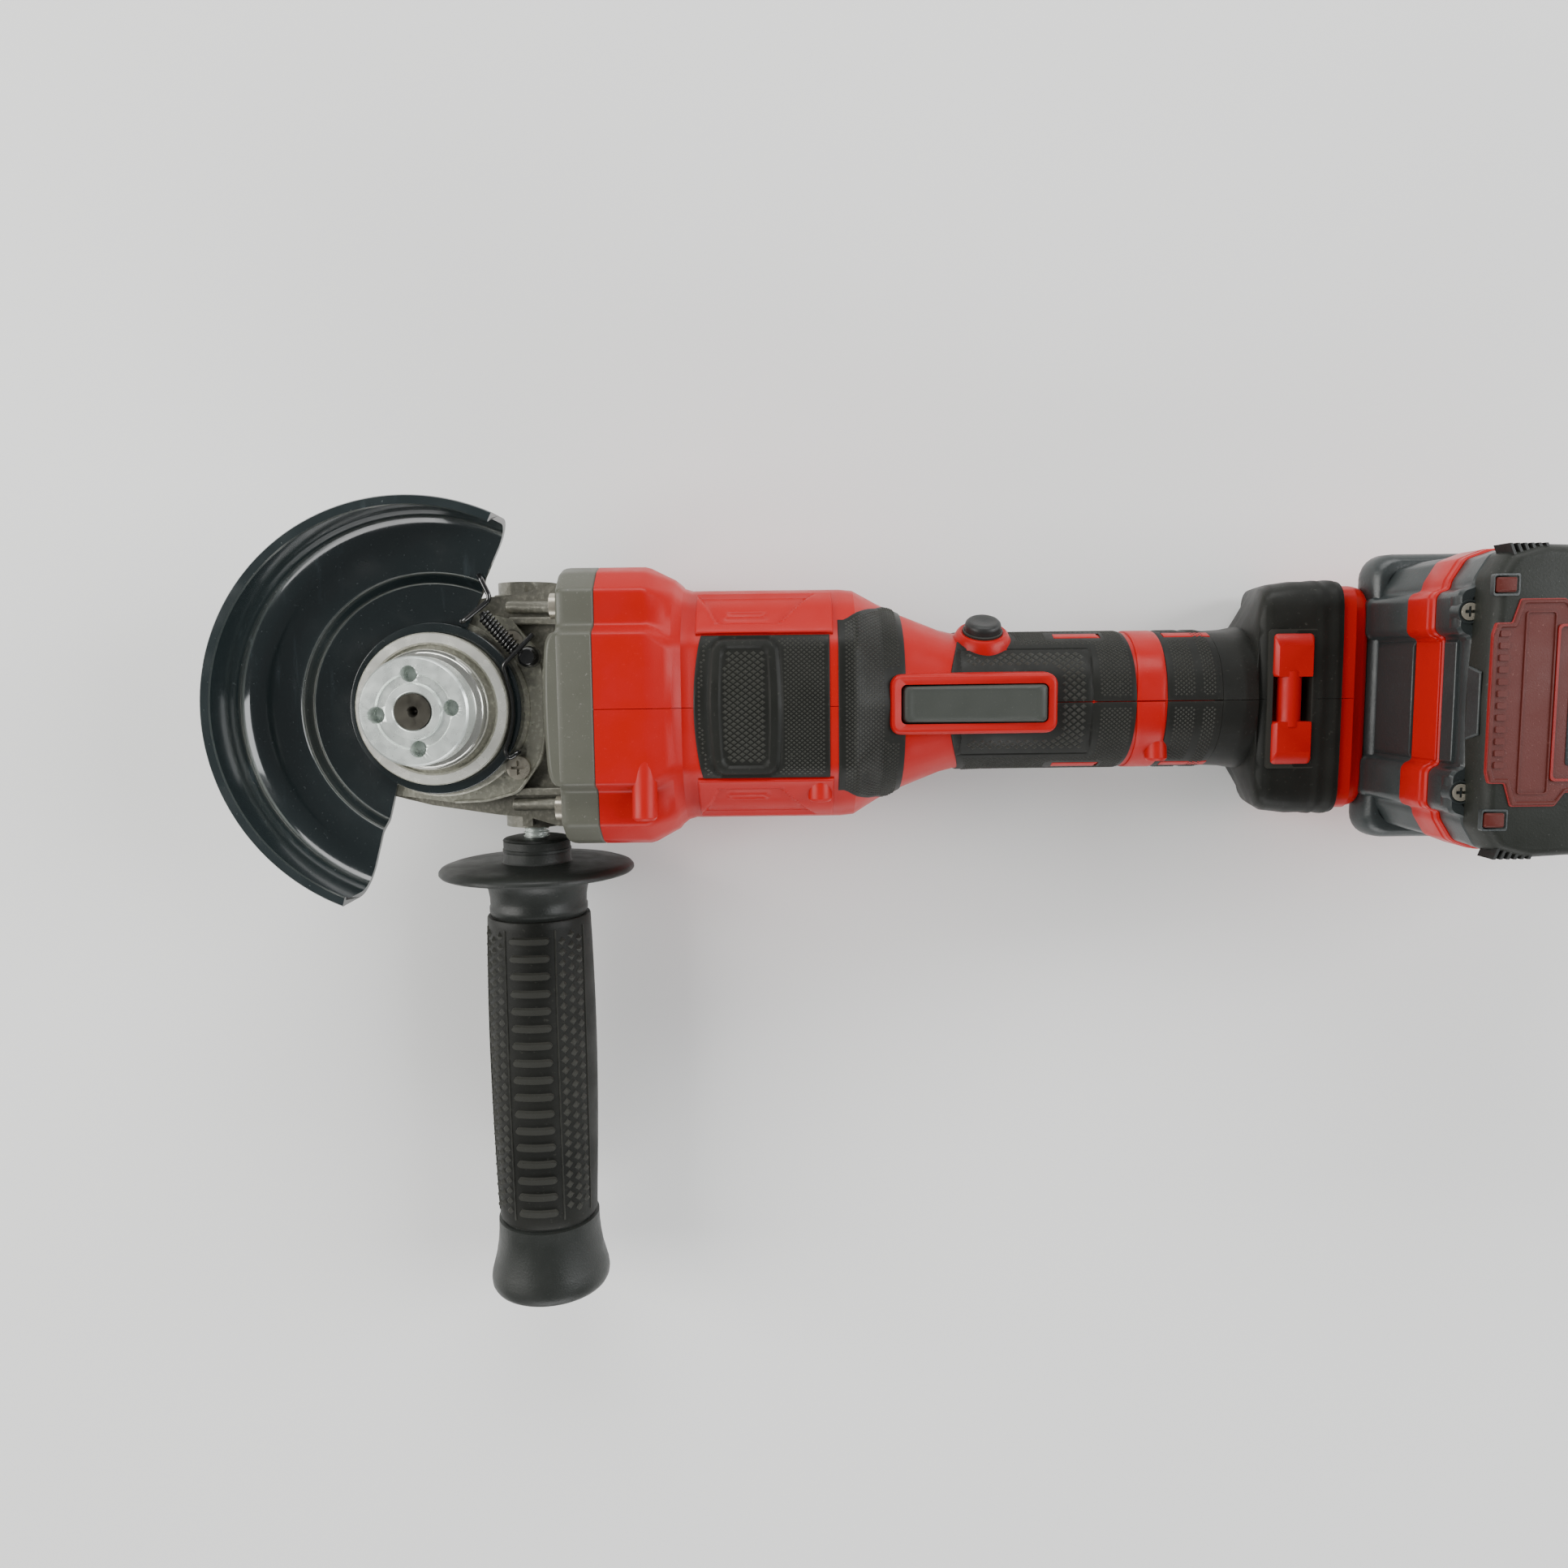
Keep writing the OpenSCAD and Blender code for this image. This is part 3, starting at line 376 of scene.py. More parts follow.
# [distance along the tool, height of the middle, corner radius, quarter outline]
STATIONS = [
    (36.0, 38, 1.2, front_q(40.0, 37)),
    (49.4, 38, 1.2, front_q(40.0, 37)),
    (62.6, 38, 1.2, front_q(40.0, 37)),
    (64.2, 38, 1.6, front_q(39.6, 36.8)),
    (70.6, 38, 2.0, motor_q(36.6, 35.4)),
    (71.6, 38, 2.0, motor_q(35.4, 34.3)),
    (73.2, 38, 2.0, motor_q(34.2, 33.2)),
    (75.6, 38, 2.4, motor_q(33.5, 33.4)),
    (77.0, 38, 3.0, motor_q(33.5, 34)),
    (118.0, 38, 3.0, motor_q(33.5, 34)),
    (122.0, 38, 3.5, motor_q(33.1, 33.8)),
    (129.5, 38, 7.0, oval_q(29.8, 29.2)),
    (137.0, 38, 9.0, oval_q(26.2, 26.4)),
    (148.5, 38, 9.0, oval_q(21.6, 24.2)),
    (153.0, 38, 9.0, oval_q(20.5, 22.7)),
    (162.0, 38, 9.0, oval_q(20.2, 21.6)),
    (228.0, 38, 9.0, oval_q(20.2, 21.6)),
    (235.0, 37.4, 9.0, oval_q(20.6, 21.8)),
    (239.4, 36.4, 8.0, oval_q(21.4, 21.4)),
    (240.3, 38.4, 4.0, foot_q(29.6, 16.6)),
    (241.3, 38.2, 3.5, foot_q(32.2, 17.6)),
    (243.4, 35.8, 3.0, foot_q(33.4, 20.7)),
    (250.5, 28.6, 3.0, foot_q(34.2, 28.2)),
    (268.0, 28.6, 3.0, foot_q(34.2, 28.2)),
]


def half_outline(x):
    """The skin's outline at one distance, from the middle of the top to the middle of the underside."""
    x = min(max(x, STATIONS[0][0]), STATIONS[-1][0])
    k = max(i for i, s in enumerate(STATIONS[:-1]) if s[0] <= x)
    a, b = STATIONS[k], STATIONS[k + 1]
    t = (x - a[0]) / (b[0] - a[0])
    mid = a[1] + (b[1] - a[1]) * t
    radius = a[2] + (b[2] - a[2]) * t
    q = [((1 - t) * p[0] + t * r[0], (1 - t) * p[1] + t * r[1]) for p, r in zip(a[3], b[3])]
    corners = [(y, mid + z) for y, z in q] + [(y, mid - z) for y, z in reversed(q)]
    out = [corners[0]]
    for i in range(1, len(corners) - 1):
        p, c, n = (Vector(corners[j]) for j in (i - 1, i, i + 1))
        r = min(radius, (p - c).length * 0.48, (n - c).length * 0.48)
        s, e = c + (p - c).normalized() * r, c + (n - c).normalized() * r
        for u in (0.0, 0.25, 0.5, 0.75, 1.0):
            out.append(tuple(s.lerp(c, u).lerp(c.lerp(e, u), u)))
    out.append(corners[-1])
    return [Vector(p) for p in out]


def middle_z(x):
    """Height of the body's middle, which drops at the foot."""
    return MOTOR_Z if x < FOOT_X else FOOT_Z


class Section:
    """The skin's outline at x by its length along the surface from the top's middle."""
    cache = {}

    def __init__(self, x):
        self.pts = half_outline(x)
        self.run = [0.0]
        for p, q in zip(self.pts, self.pts[1:]):
            self.run.append(self.run[-1] + (q - p).length)
        self.total = self.run[-1]

    @classmethod
    def at(cls, x):
        key = round(x, 4)
        if key not in cls.cache:
            cls.cache[key] = cls(x)
        return cls.cache[key]

    def point(self, t):
        t = min(max(t, 0.0), self.total)
        lo, hi = 0, len(self.run) - 1
        while hi - lo > 1:
            m = (lo + hi) // 2
            if self.run[m] <= t:
                lo = m
            else:
                hi = m
        span = self.run[hi] - self.run[lo]
        return self.pts[lo].lerp(self.pts[hi], (t - self.run[lo]) / span if span else 0.0)


def skin(x, t, out=0.0):
    """A point on the body at x, t millimetres round from the top's middle (negative towards -Y), raised by out."""
    side = 1 if t >= 0 else -1
    t = abs(t)
    sec = Section.at(x)
    p = sec.point(t)
    if out:
        a, b = sec.point(t - 0.4), sec.point(t + 0.4)
        along = (b - a)
        if along.length < 1e-6:
            along = Vector((1, 0))
        n2 = Vector((-along.y, along.x)).normalized()
        if n2.dot(p - Vector((0, middle_z(x)))) < 0:
            n2 = -n2
        if t < 0.3:
            n2 = Vector((0, 1))
        fore, aft = Section.at(x + 0.6).point(t), Section.at(x - 0.6).point(t)
        slope = (fore - aft).dot(n2) / 1.2 if 37 < x < 267 else 0.0
        n = Vector((-slope, n2.x, n2.y)).normalized()
        return (x + n.x * out, (p.x + n.y * out) * side, p.y + n.z * out)
    return (x, p.x * side, p.y)


def xs_between(x0, x1, step, extra=()):
    """Distances from x0 to x1 that include every station between."""
    inner = sorted({x0, x1} | {s[0] for s in STATIONS if x0 < s[0] < x1} | set(extra))
    out = [x0]
    for a, b in zip(inner, inner[1:]):
        n = max(1, math.ceil((b - a) / step))
        out += [a + (b - a) * k / n for k in range(1, n + 1)]
    return out


def half_shell(xs, side, depth=lambda x: 0.0, wall=2.4, hole=None):
    """One half of the body's shell at a list of distances, sunk by a depth, with its thickness."""
    rows = []
    for x in xs:
        pts = half_outline(x)
        row = []
        for p, q, r in zip([pts[0]] + pts[:-1], pts, pts[1:] + [pts[-1]]):
            d = (r - p).normalized()
            n = Vector((-d.y, d.x))
            if n.dot(q - Vector((0, middle_z(x)))) < 0:
                n = -n
            row.append((q, n))
        rows.append(row)
    n = len(rows[0])
    points, faces = [], []
    for inner in (0.0, wall):
        for x, row in zip(xs, rows):
            for q, nn in row:
                y = max(SEAM, q.x - nn.x * (depth(x) + inner))
                points.append((x, side * y, q.y - nn.y * (depth(x) + inner)))
    layer = len(xs) * n

    def open_at(i, j):
        if hole is None:
            return False
        a, b = points[i * n + j], points[(i + 1) * n + j + 1]
        return hole((a[0] + b[0]) / 2, (a[1] + b[1]) / 2, (a[2] + b[2]) / 2)
    kept = {(i, j) for i in range(len(xs) - 1) for j in range(n - 1) if not open_at(i, j)}
    for i, j in kept:
        a, b, c, d = i * n + j, i * n + j + 1, (i + 1) * n + j + 1, (i + 1) * n + j
        faces.append((a, b, c, d))
        faces.append((layer + a, layer + d, layer + c, layer + b))
        for (di, dj), (p, q) in {(-1, 0): (a, b), (1, 0): (c, d), (0, -1): (d, a), (0, 1): (b, c)}.items():
            if (i + di, j + dj) not in kept:
                faces.append((p, layer + p, layer + q, q))
    return points, faces


def fine(a, b, step, edge=(0.12, 0.4)):
    """Distances from a to b, close together at both ends where a pad's edge rolls over."""
    n = max(1, math.ceil((b - a - 2 * edge[-1]) / step))
    inner = [a + edge[-1] + (b - a - 2 * edge[-1]) * k / n for k in range(n + 1)]
    return [a] + [a + edge[0]] + inner + [b - edge[0]] + [b]


def roll(d, rise, radius=0.4):
    """Height of a pad's surface at a distance from its edge: a quarter round, then flat."""
    k = 1 - min(d, radius) / radius
    return rise - radius * (1 - math.sqrt(max(0.0, 1 - k * k)))


def patch(xs, ts, warp=None, hole=None, rise=0.4, sink=1.0, shape=None, relief=None):
    """A closed pad on the skin: a grid in distance and girth, rolled over at its border.

    shape adds height by the warped place, relief by the place on the flat grid."""
    warp = warp or (lambda x, t: (x, t))
    nx, nt = len(xs), len(ts)
    kept = {(i, j) for i in range(nx - 1) for j in range(nt - 1)
            if hole is None or not hole(*warp((xs[i] + xs[i + 1]) / 2, (ts[j] + ts[j + 1]) / 2))}
    used = sorted({(i + a, j + b) for i, j in kept for a in (0, 1) for b in (0, 1)})
    points, index = [], {}
    for level in (0, 1):
        for i, j in used:
            index[(i, j, level)] = len(points)
            d = min(xs[i] - xs[0], xs[-1] - xs[i], ts[j] - ts[0], ts[-1] - ts[j])
            x, t = warp(xs[i], ts[j])
            height = (shape(x, t) if shape else 0.0) + (relief(xs[i], ts[j]) if relief else 0.0)
            out = -sink if level else roll(d, rise) + height
            points.append(skin(x, t, out))
    faces = []
    for i, j in kept:
        q = [(i, j), (i, j + 1), (i + 1, j + 1), (i + 1, j)]
        faces.append(tuple(index[(*p, 0)] for p in q))
        faces.append(tuple(index[(*p, 1)] for p in reversed(q)))
        for (di, dj), (p, r) in {(-1, 0): (0, 1), (1, 0): (2, 3), (0, -1): (3, 0), (0, 1): (1, 2)}.items():
            if (i + di, j + dj) not in kept:
                faces.append((index[(*q[p], 0)], index[(*q[p], 1)], index[(*q[r], 1)], index[(*q[r], 0)]))
    return points, faces


def span(a, b, step):
    n = max(1, round((b - a) / step))
    return [a + (b - a) * k / n for k in range(n + 1)]


def diamonds(x0, x1, t0, t1, inside, pitch_x=1.5, pitch_t=1.25, base=0.38, height=0.3):
    """Small pyramids on rhombic bases all over a panel, each its own closed solid."""
    parts = []
    hx, ht = pitch_x / 2, pitch_t / 2
    nx, nt = int((x1 - x0) / hx), int((t1 - t0) / ht)
    for i in range(1, nx):
        for j in range(1, nt):
            if (i + j) % 2:
                continue
            x, t = x0 + i * hx, t0 + j * ht
            corners = [(hx, 0), (0, ht), (-hx, 0), (0, -ht)]
            if not all(inside(x + a, t + b) for a, b in corners):
                continue
            pts = [skin(x + a * 0.95, t + b * 0.95, base - 0.12) for a, b in corners]
            pts.append(skin(x, t, base + height))
            parts.append((pts, [(3, 2, 1, 0), (0, 1, 4), (1, 2, 4), (2, 3, 4), (3, 0, 4)]))
    return join_parts(parts)


# ---- the gear head and the guard ------------------------------------------------

def polish(node, look, bevel=0.0, angle=30.0):
    """A CAD node that stays: its own vertices welded, its edges rounded, its own material."""
    ob = NODES[node]
    ob.data.materials.clear()
    ob.data.materials.append(MATS[look])
    if bevel:
        weld = ob.modifiers.new("weld", "WELD")
        weld.merge_threshold = 1e-5
        mod = ob.modifiers.new("edges", "BEVEL")
        mod.width = bevel * MM
        mod.segments = 2
        mod.limit_method = "ANGLE"
        mod.angle_limit = math.radians(angle)
        mod.use_clamp_overlap = True
        ob.modifiers.new("normals", "WEIGHTED_NORMAL").weight = 60


def cross(ends, r):
    """The angle at which a straight line in the plane meets a circle about the spindle."""
    (ax, ay), (bx, by) = ends
    dx, dy = bx - ax, by - ay
    a, b, c = dx * dx + dy * dy, ax * dx + ay * dy, ax * ax + ay * ay - r * r
    t = (-b + math.sqrt(max(0.0, b * b - a * c))) / a
    return math.degrees(math.atan2(ay + dy * t, ax + dx * t)) % 360


def guard_shell():
    """The guard as turned sheet metal between its two straight ends."""
    end_a = ((9.3, 23.7), (23.6, 53.4))
    end_b = ((-13.3, -21.7), (-21.6, -52.8))

    def ease(r0, z0, r1, z1, steps=8):
        return [(r0 + (r1 - r0) * k / steps, z0 + (z1 - z0) * (0.5 - 0.5 * math.cos(math.pi * k / steps)))
                for k in range(1, steps)]

    def corner(cr, cz, r, a0, a1, steps=10):
        return [(cr + r * math.cos(math.radians(a0 + (a1 - a0) * k / steps)),
                 cz + r * math.sin(math.radians(a0 + (a1 - a0) * k / steps))) for k in range(steps + 1)]
    upper = [(25.1, 51.2), (30, 51.2), (35.6, 51.2)] + ease(35.6, 51.2, 40.2, 55) + [(40.2, 55), (44, 55), (48.6, 55)]
    upper += corner(49.6, 62.2, 7.2, -90, 0)[1:] + [(56.8, 68), (56.8, 74.2), (55.9, 74.7), (55.6, 75.3),
                                                    (55.9, 75.85)]
    lower = [(58.1, 75.9), (58.4, 75.5), (58.4, 68)] + corner(49.6, 62.2, 8.8, 0, -90) + [(44, 53.4), (41, 53.4)]
    lower += ease(41, 53.4, 36.6, 49.62) + [(36.6, 49.62), (30, 49.62), (25.1, 49.62)]
    profile = upper + lower
    steps = 150
    spans = [(cross(end_a, r), cross(end_b, r)) for r, z in profile]
    points = []
    for k in range(steps + 1):
        for (r, z), (a, b) in zip(profile, spans):
            t = math.radians(a + (b - a) * k / steps)
            points.append((r * math.cos(t), r * math.sin(t), z))
    n = len(profile)
    faces = [(k * n + i, k * n + (i + 1) % n, (k + 1) * n + (i + 1) % n, (k + 1) * n + i)
             for k in range(steps) for i in range(n)]
    m = len(upper)
    for base, flip in ((0, False), (steps * n, True)):
        for i in range(m - 1):
            j = n - 1 - round(i * (n - m - 1) / (m - 1))
            jn = n - 1 - round((i + 1) * (n - m - 1) / (m - 1))
            f = [base + i, base + i + 1, base + jn] + ([base + j] if j != jn else [])
            faces.append(tuple(f if flip else f[::-1]))
    return points, faces


put("guard_sheet", guard_shell(), "guard", "guard_black", ["guard"], sharp=50)
put("guard_wire_loop", tube(rounded_path([(14.6, 38.2, 56.4), (15.2, 37.2, 57.3), (17.9, 31.4, 57.3),
                                          (9.4, 24.9, 57.3), (8.6, 25.4, 54)], 1.8), 0.75), "guard",
    "wire_black", ["guard_wire"], sharp=60)
polish("guard_band", "guard_black", 0.35)
put("latch_wire_bent", tube(rounded_path([(29.6, 21.2, 56.8), (20.5, 12.3, 56.8), (21.4, 9.2, 56.8),
                                          (22.9, 3, 56.8), (23.05, -2.4, 56.8), (22.1, -7, 56.8),
                                          (20.3, -12.6, 56.8), (21.4, -14.7, 56.8), (24.2, -12.9, 56.8),
                                          (24.2, -12.8, 49.2)], 2.2), 0.72), "guard_latch", "wire_black",
    ["latch_wire"], sharp=60)
spring = join_parts([tube(helix((14.6, 27.1, 53.6), (23.4, 16.8, 53.6), 1.7, 12), 0.44, 8),
                     tube([(14.2, 27.6, 53.6), (23.8, 16.3, 53.6)], 1.0),
                     tube([(22.9, 17.2, 54.2), (22.9, 17.2, 49)], 1.05)])
put("latch_spring_wound", spring, "body", "wire_black", ["latch_spring"], sharp=60)
polish("latch_pivot", "wire_black", 0.2)
polish("gear_housing", "gunmetal", 1.0)
polish("gear_cover", "cover_metal", 0.6)
for node in ("gear_cover_screws", "gear_housing_screws"):
    polish(node, "screw_steel", 0.35, 40)
put("collar_rim", lathe([(18.55, 57.55), (21.9, 57.55), (22.06, 57.8), (22.06, 58.7), (21.7, 59.05),
                         (19.2, 59.05), (18.55, 58.3)], 120), "body", "rim_metal")
put("cover_groove", lathe([(22.0, 49.0), (26.4, 49.0), (26.4, 49.5), (25.6, 50.0), (22.0, 50.0)], 96), "body",
    "cover_metal")
polish("clamp_nut", "zinc", 0.3)
polish("inner_flange", "chrome_steel", 0.3)
polish("spindle", "dark_steel", 0.3)
polish("spindle_lock_button", "black_plastic", 0.5)


def cast_ribs():
    """Cast ribs, scoops' rims and bosses of the gear case around the flange screws."""
    parts = []
    for s in (1, -1):
        parts.append(block((14.5, min(s * 30.4, s * 33.6), 36.5), (36.2, max(s * 30.4, s * 33.6), 40.6)))
        parts.append(block((20.5, min(s * 24.2, s * 26.6), 44.6), (36.2, max(s * 24.2, s * 26.6), 48.8)))
        parts.append(block((24.5, min(s * 31.2, s * 33.2), 40.2), (36.2, max(s * 31.2, s * 33.2), 44.6)))
        parts.append(tube([(19.5, s * 29.6, 45.2), (36.4, s * 29.2, 47.6)], 1.9, 16))
    return join_parts(parts)


put("case_ribs", cast_ribs(), "body", "gunmetal", bevel=0.7)
put("cover_edge_rib", tube(rounded_path([(31.0, 14, 48.9), (30.6, 8, 48.9), (30.4, -8, 48.9),
                                         (29.0, -15.6, 48.9), (21.9, -25.4, 48.9), (12.6, -27.8, 48.9),
                                         (2.9, -28.1, 48.9)], 2.0), 0.55), "body", "cover_metal")


# ---- the plastic body -----------------------------------------------------------

SHELL_END = 268.0
TRIGGER_SLOT = (133.4, 178.4)
TETHER_SLOT = (243.4, 255.4)
TETHER_HALF = 19.2
SLOT_Z = 48  # the slots are only open above this height
BUTTON_X = 160.7
BUTTON_TILT = math.radians(62)
BUTTON_AXIS = Vector((0, math.sin(BUTTON_TILT), math.cos(BUTTON_TILT)))


def near_button(x, y, z, r):
    """Whether a point is within a radius of the lock-on button's axis, on its outer side."""
    d = Vector((x - BUTTON_X, y, z - MOTOR_Z))
    return d.dot(BUTTON_AXIS) > 5 and (d - BUTTON_AXIS * d.dot(BUTTON_AXIS)).length < r


def in_tether_slot(x, y, z):
    return z > SLOT_Z and abs(y) < TETHER_HALF and TETHER_SLOT[0] < x < TETHER_SLOT[1]


def shell_hole(x, y, z):
    """Where the body's shell is open: trigger, tether bar and lock-on button."""
    in_trigger_slot = z > SLOT_Z and abs(y) < 6.6 and TRIGGER_SLOT[0] < x < TRIGGER_SLOT[1]
    return in_trigger_slot or in_tether_slot(x, y, z) or near_button(x, y, z, 5.8)


FOOT_LEAN = 0.22  # how far the foot's front slants back for each millimetre down


def lean(part):
    """Slants the front of the foot back towards its underside."""
    out = []
    for x, y, z in part[0]:
        amount = unit(x - 239.2) * unit((257.5 - x) / 15)
        out.append((x + FOOT_LEAN * max(0.0, 54 - z) * amount, y, z))
    return out, part[1]


RED_XS = xs_between(49.45, SHELL_END, 2.5, TRIGGER_SLOT + TETHER_SLOT)
for side, word in SIDES:
    shell = half_shell(RED_XS, side, lambda x: 0.0 if x < 228 else 1.2, hole=shell_hole)
    put("body_" + word, lean(shell), "body", "red_plastic", ["housing_" + word], sharp=30)


def full_loop(x, by=0.0):
    """The body's whole outline at one distance, drawn in towards its middle by a depth."""
    half = half_outline(x)
    loop = half + [Vector((-p.x, p.y)) for p in reversed(half[1:-1])]
    out = []
    for k, p in enumerate(loop):
        d = (loop[(k + 1) % len(loop)] - loop[k - 1]).normalized()
        n = Vector((-d.y, d.x))
        n = -n if n.dot(p - Vector((0, MOTOR_Z))) < 0 else n
        out.append((x, p.x - n.x * by, p.y - n.y * by))
    return out


def skin_stack(loops):
    """Closed solid through rings of equal length."""
    n = len(loops[0])
    points = [p for loop in loops for p in loop]
    faces = [tuple(range(n)), tuple(range((len(loops) - 1) * n, len(loops) * n))[::-1]]
    for k in range(len(loops) - 1):
        faces += [(k * n + i, (k + 1) * n + i, (k + 1) * n + (i + 1) % n, k * n + (i + 1) % n)
                  for i in range(n)]
    return points, faces


def flange_loop(x, by):
    """The flange keeps the front block's outline, moved along the tool."""
    return [(x, y, z) for _, y, z in full_loop(49.4, by)]


put("flange_body", skin_stack([flange_loop(x, by) for x, by in ((38.4, 1.7), (38.6, 1.0), (39.1, 0.45),
        (40.0, 0.12), (41.2, 0.0), (48.9, 0.0), (49.38, 0.35))]), "body", "grey_plastic", ["motor_flange"],
    sharp=30)


def flange_bulge():
    """The middle of the flange's front, curved out towards the gear case."""
    ys = span(-21.2, 21.2, 1.4)
    zs = span(1.6, 74.7, 1.6)
    points = []
    for level in (0, 1):
        for y in ys:
            for z in zs:
                k = max(0.0, 1 - (y / 21.2) ** 2)
                drop = 1.1 * max(0.0, (z - 72.2) / 2.5) ** 2 + 1.6 * (abs(y) / 21.2) ** 14
                points.append((40.4 if level else 36.2 - 0.9 * k + drop, y, z))
    ny, nz = len(ys), len(zs)
    faces = []
    for level in (0, 1):
        base = level * ny * nz
        for i in range(ny - 1):
            for j in range(nz - 1):
                q = (base + i * nz + j, base + i * nz + j + 1, base + (i + 1) * nz + j + 1, base + (i + 1) * nz
                     + j)
                faces.append(q if level else q[::-1])
    rim = [(i, 0) for i in range(ny)] + [(ny - 1, j) for j in range(1, nz)] \
        + [(i, nz - 1) for i in range(ny - 2, -1, -1)] + [(0, j) for j in range(nz - 2, 0, -1)]
    for (a, b), (c, d) in zip(rim, rim[1:] + rim[:1]):
        faces.append((a * nz + b, c * nz + d, ny * nz + c * nz + d, ny * nz + a * nz + b))
    return points, faces


put("flange_front", flange_bulge(), "body", "grey_plastic", sharp=40, bevel=0.5)
put("flange_foot", prism([(-33, 2.5), (33, 2.5), (36.3, 12), (36.3, 42), (34.5, 45.4), (-34.5, 45.4),
                          (-36.3, 42), (-36.3, 12)], 35.2, 39.4, "x"), "body", "grey_plastic", bevel=0.7)


BOSS_FALL = 0.13  # how fast a boss sinks into the skin towards its inner end


def screw_boss(x, y_near, y_far, z, r=3.5):
    """A half-buried boss along Y with a screw recess in its outer end."""
    profile = [(2.1, 0), (2.6, 0), (r - 0.5, 0.15), (r, 0.8), (r, y_near - y_far + 1),
               (r * 0.72, y_near - y_far + 3.2), (0.01, y_near - y_far + 4), (0.01, 5), (2.1, 5)]
    place = Matrix(((1, 0, 0, x), (0, 0, 1, y_far), (0, 1, -BOSS_FALL, z), (0, 0, 0, 1)))
    return lathe(profile, 40, place=place)


def boss_screw(x, y_far, z):
    place = Matrix(((1, 0, 0, x), (0, 0, 1, y_far + 1.4), (0, 1, 0, z), (0, 0, 0, 1)))
    return lathe([(0.01, 0.9), (0.7, 0.9), (0.8, 0.2), (1.6, 0.0), (2.05, 0.5), (2.05, 3), (0.01, 3)], 24,
                 place=place)


BOSSES = [(62.7, -10.6, -31.0, 73.6, 3.5), (111.8, -14.6, -27.0, 67.2, 3.4), (211.0, -8.0, -17.6, 54.3, 3.2)]
put("screw_bosses", join_parts([screw_boss(*b) for b in BOSSES]), "body", "red_plastic", bevel=0.3)
put("boss_screws", join_parts([boss_screw(b[0], b[2], b[3]) for b in BOSSES]), "body", "dark_steel",
    ["housing_screws"])


def mirror_under(part):
    """The same piece on the underside of the tool."""
    return [(x, y, 2 * MOTOR_Z - z) for x, y, z in part[0]], [f[::-1] for f in part[1]]


# Pads over the motor: a framed panel and a wider one where the housing narrows to the neck
# A frame is (front, rear, half girth, corner radius).
PAD_FRAME = (82.6, 99.5, 18.9, 3.0)
PAD_WINDOW = (84.9, 97.2, 16.7, 2.0)
WAIST_HALF = 25.4  # half girth of the second pad where it meets the motor


def inside_round(x, t, x0, x1, half, r):
    """Distance inwards from the border of a rectangle with rounded corners."""
    qx, qt = abs(x - (x0 + x1) / 2) - ((x1 - x0) / 2 - r), abs(t) - (half - r)
    return r - math.hypot(max(qx, 0.0), max(qt, 0.0)) - min(max(qx, qt), 0.0)


def pad_frame(x, t):
    """Raised frame in the middle of the motor pad, sunk again inside it."""
    outer = inside_round(x, t, *PAD_FRAME)
    inner = inside_round(x, t, *PAD_WINDOW)
    return 0.6 * unit(outer / 0.6) - 0.75 * unit(inner / 0.5) \
        - 0.35 * max(0.0, 1 - abs(outer + 0.4) / 0.5)


BOW = [(77.0, -2.6), (82.6, -1.6), (91.0, 0.0), (99.5, 1.2), (107.0, 0.6), (114.6, 0.0)]


def bow(x, t):
    """Curves the front edge of the motor pad and the sides of its frame."""
    x = min(max(x, BOW[0][0]), BOW[-1][0])
    (xa, a), (xb, b) = next((p, q) for p, q in zip(BOW, BOW[1:]) if x <= q[0])
    return (x + (a + (b - a) * (x - xa) / (xb - xa)) * (1 - (t / 20.2) ** 2), t)


def waist_half(x):
    """Girth of the second pad from the middle to its edge, which runs out over the neck's flank."""
    if x < 119:
        return WAIST_HALF
    return WAIST_HALF + (34 - WAIST_HALF) * min(1.0, (x - 119) / 9.5) + 17 * max(0.0, (x - 128.5) / 8.0) ** 1.2


def waist(x, t):
    """Spreads the second pad towards the motor and narrows it towards the neck."""
    return (x, t * waist_half(x) / 24.6)


def in_pad_one(x, t):
    flat = x - bow(x, t)[0] + x
    return 79.6 < flat < 113.9 and abs(t) < 19.4 and inside_round(flat, t, *PAD_FRAME) < -0.9


def in_pad_window(x, t):
    return inside_round(x - bow(x, t)[0] + x, t, *PAD_WINDOW) > 0.2


def in_pad_two(x, t):
    return 118.0 < x < 135.7 and abs(t) < waist_half(x) - 0.9 and not (x > 130.6 and abs(t) < 10.4)


pads = [patch(fine(78.9, 114.6, 0.55), fine(-20.2, 20.2, 0.6), warp=bow, relief=pad_frame),
        patch(fine(116.9, 136.5, 1.3), fine(-24.6, 24.6, 1.0), warp=waist, rise=0.3,
              hole=lambda x, t: x > 133.2 and abs(t) < 7.2),
        diamonds(76.0, 114.6, -20, 20, in_pad_one),
        diamonds(82.0, 100.0, -17.4, 17.4, in_pad_window, 2.3, 1.7, 0.25, 0.5),
        diamonds(117.0, 136.6, -52, 52, in_pad_two, base=0.28)]
pads += [mirror_under(p) for p in pads]
put("motor_pad_rubber", join_parts(pads), "body", "rubber", ["motor_pads"], sharp=28)


def flank_relief(x, t):
    """Raised flank beside the motor pad with a sunk trapezoid and a slot outlined in it."""
    t = abs(t)
    widen = (t - 23.6) / 7.4
    sunk = min(x - (82.9 - 3.4 * widen), 101.1 + 5.8 * widen - x, (t - 23.4) * 1.2, (36.2 - t) * 1.2)
    slot = inside_round(x, t - 27.0, 85.8, 97.0, 0.9, 0.5)
    return -0.95 * unit(sunk / 0.9) + 0.45 * max(0.0, 1 - abs(slot) / 0.55)


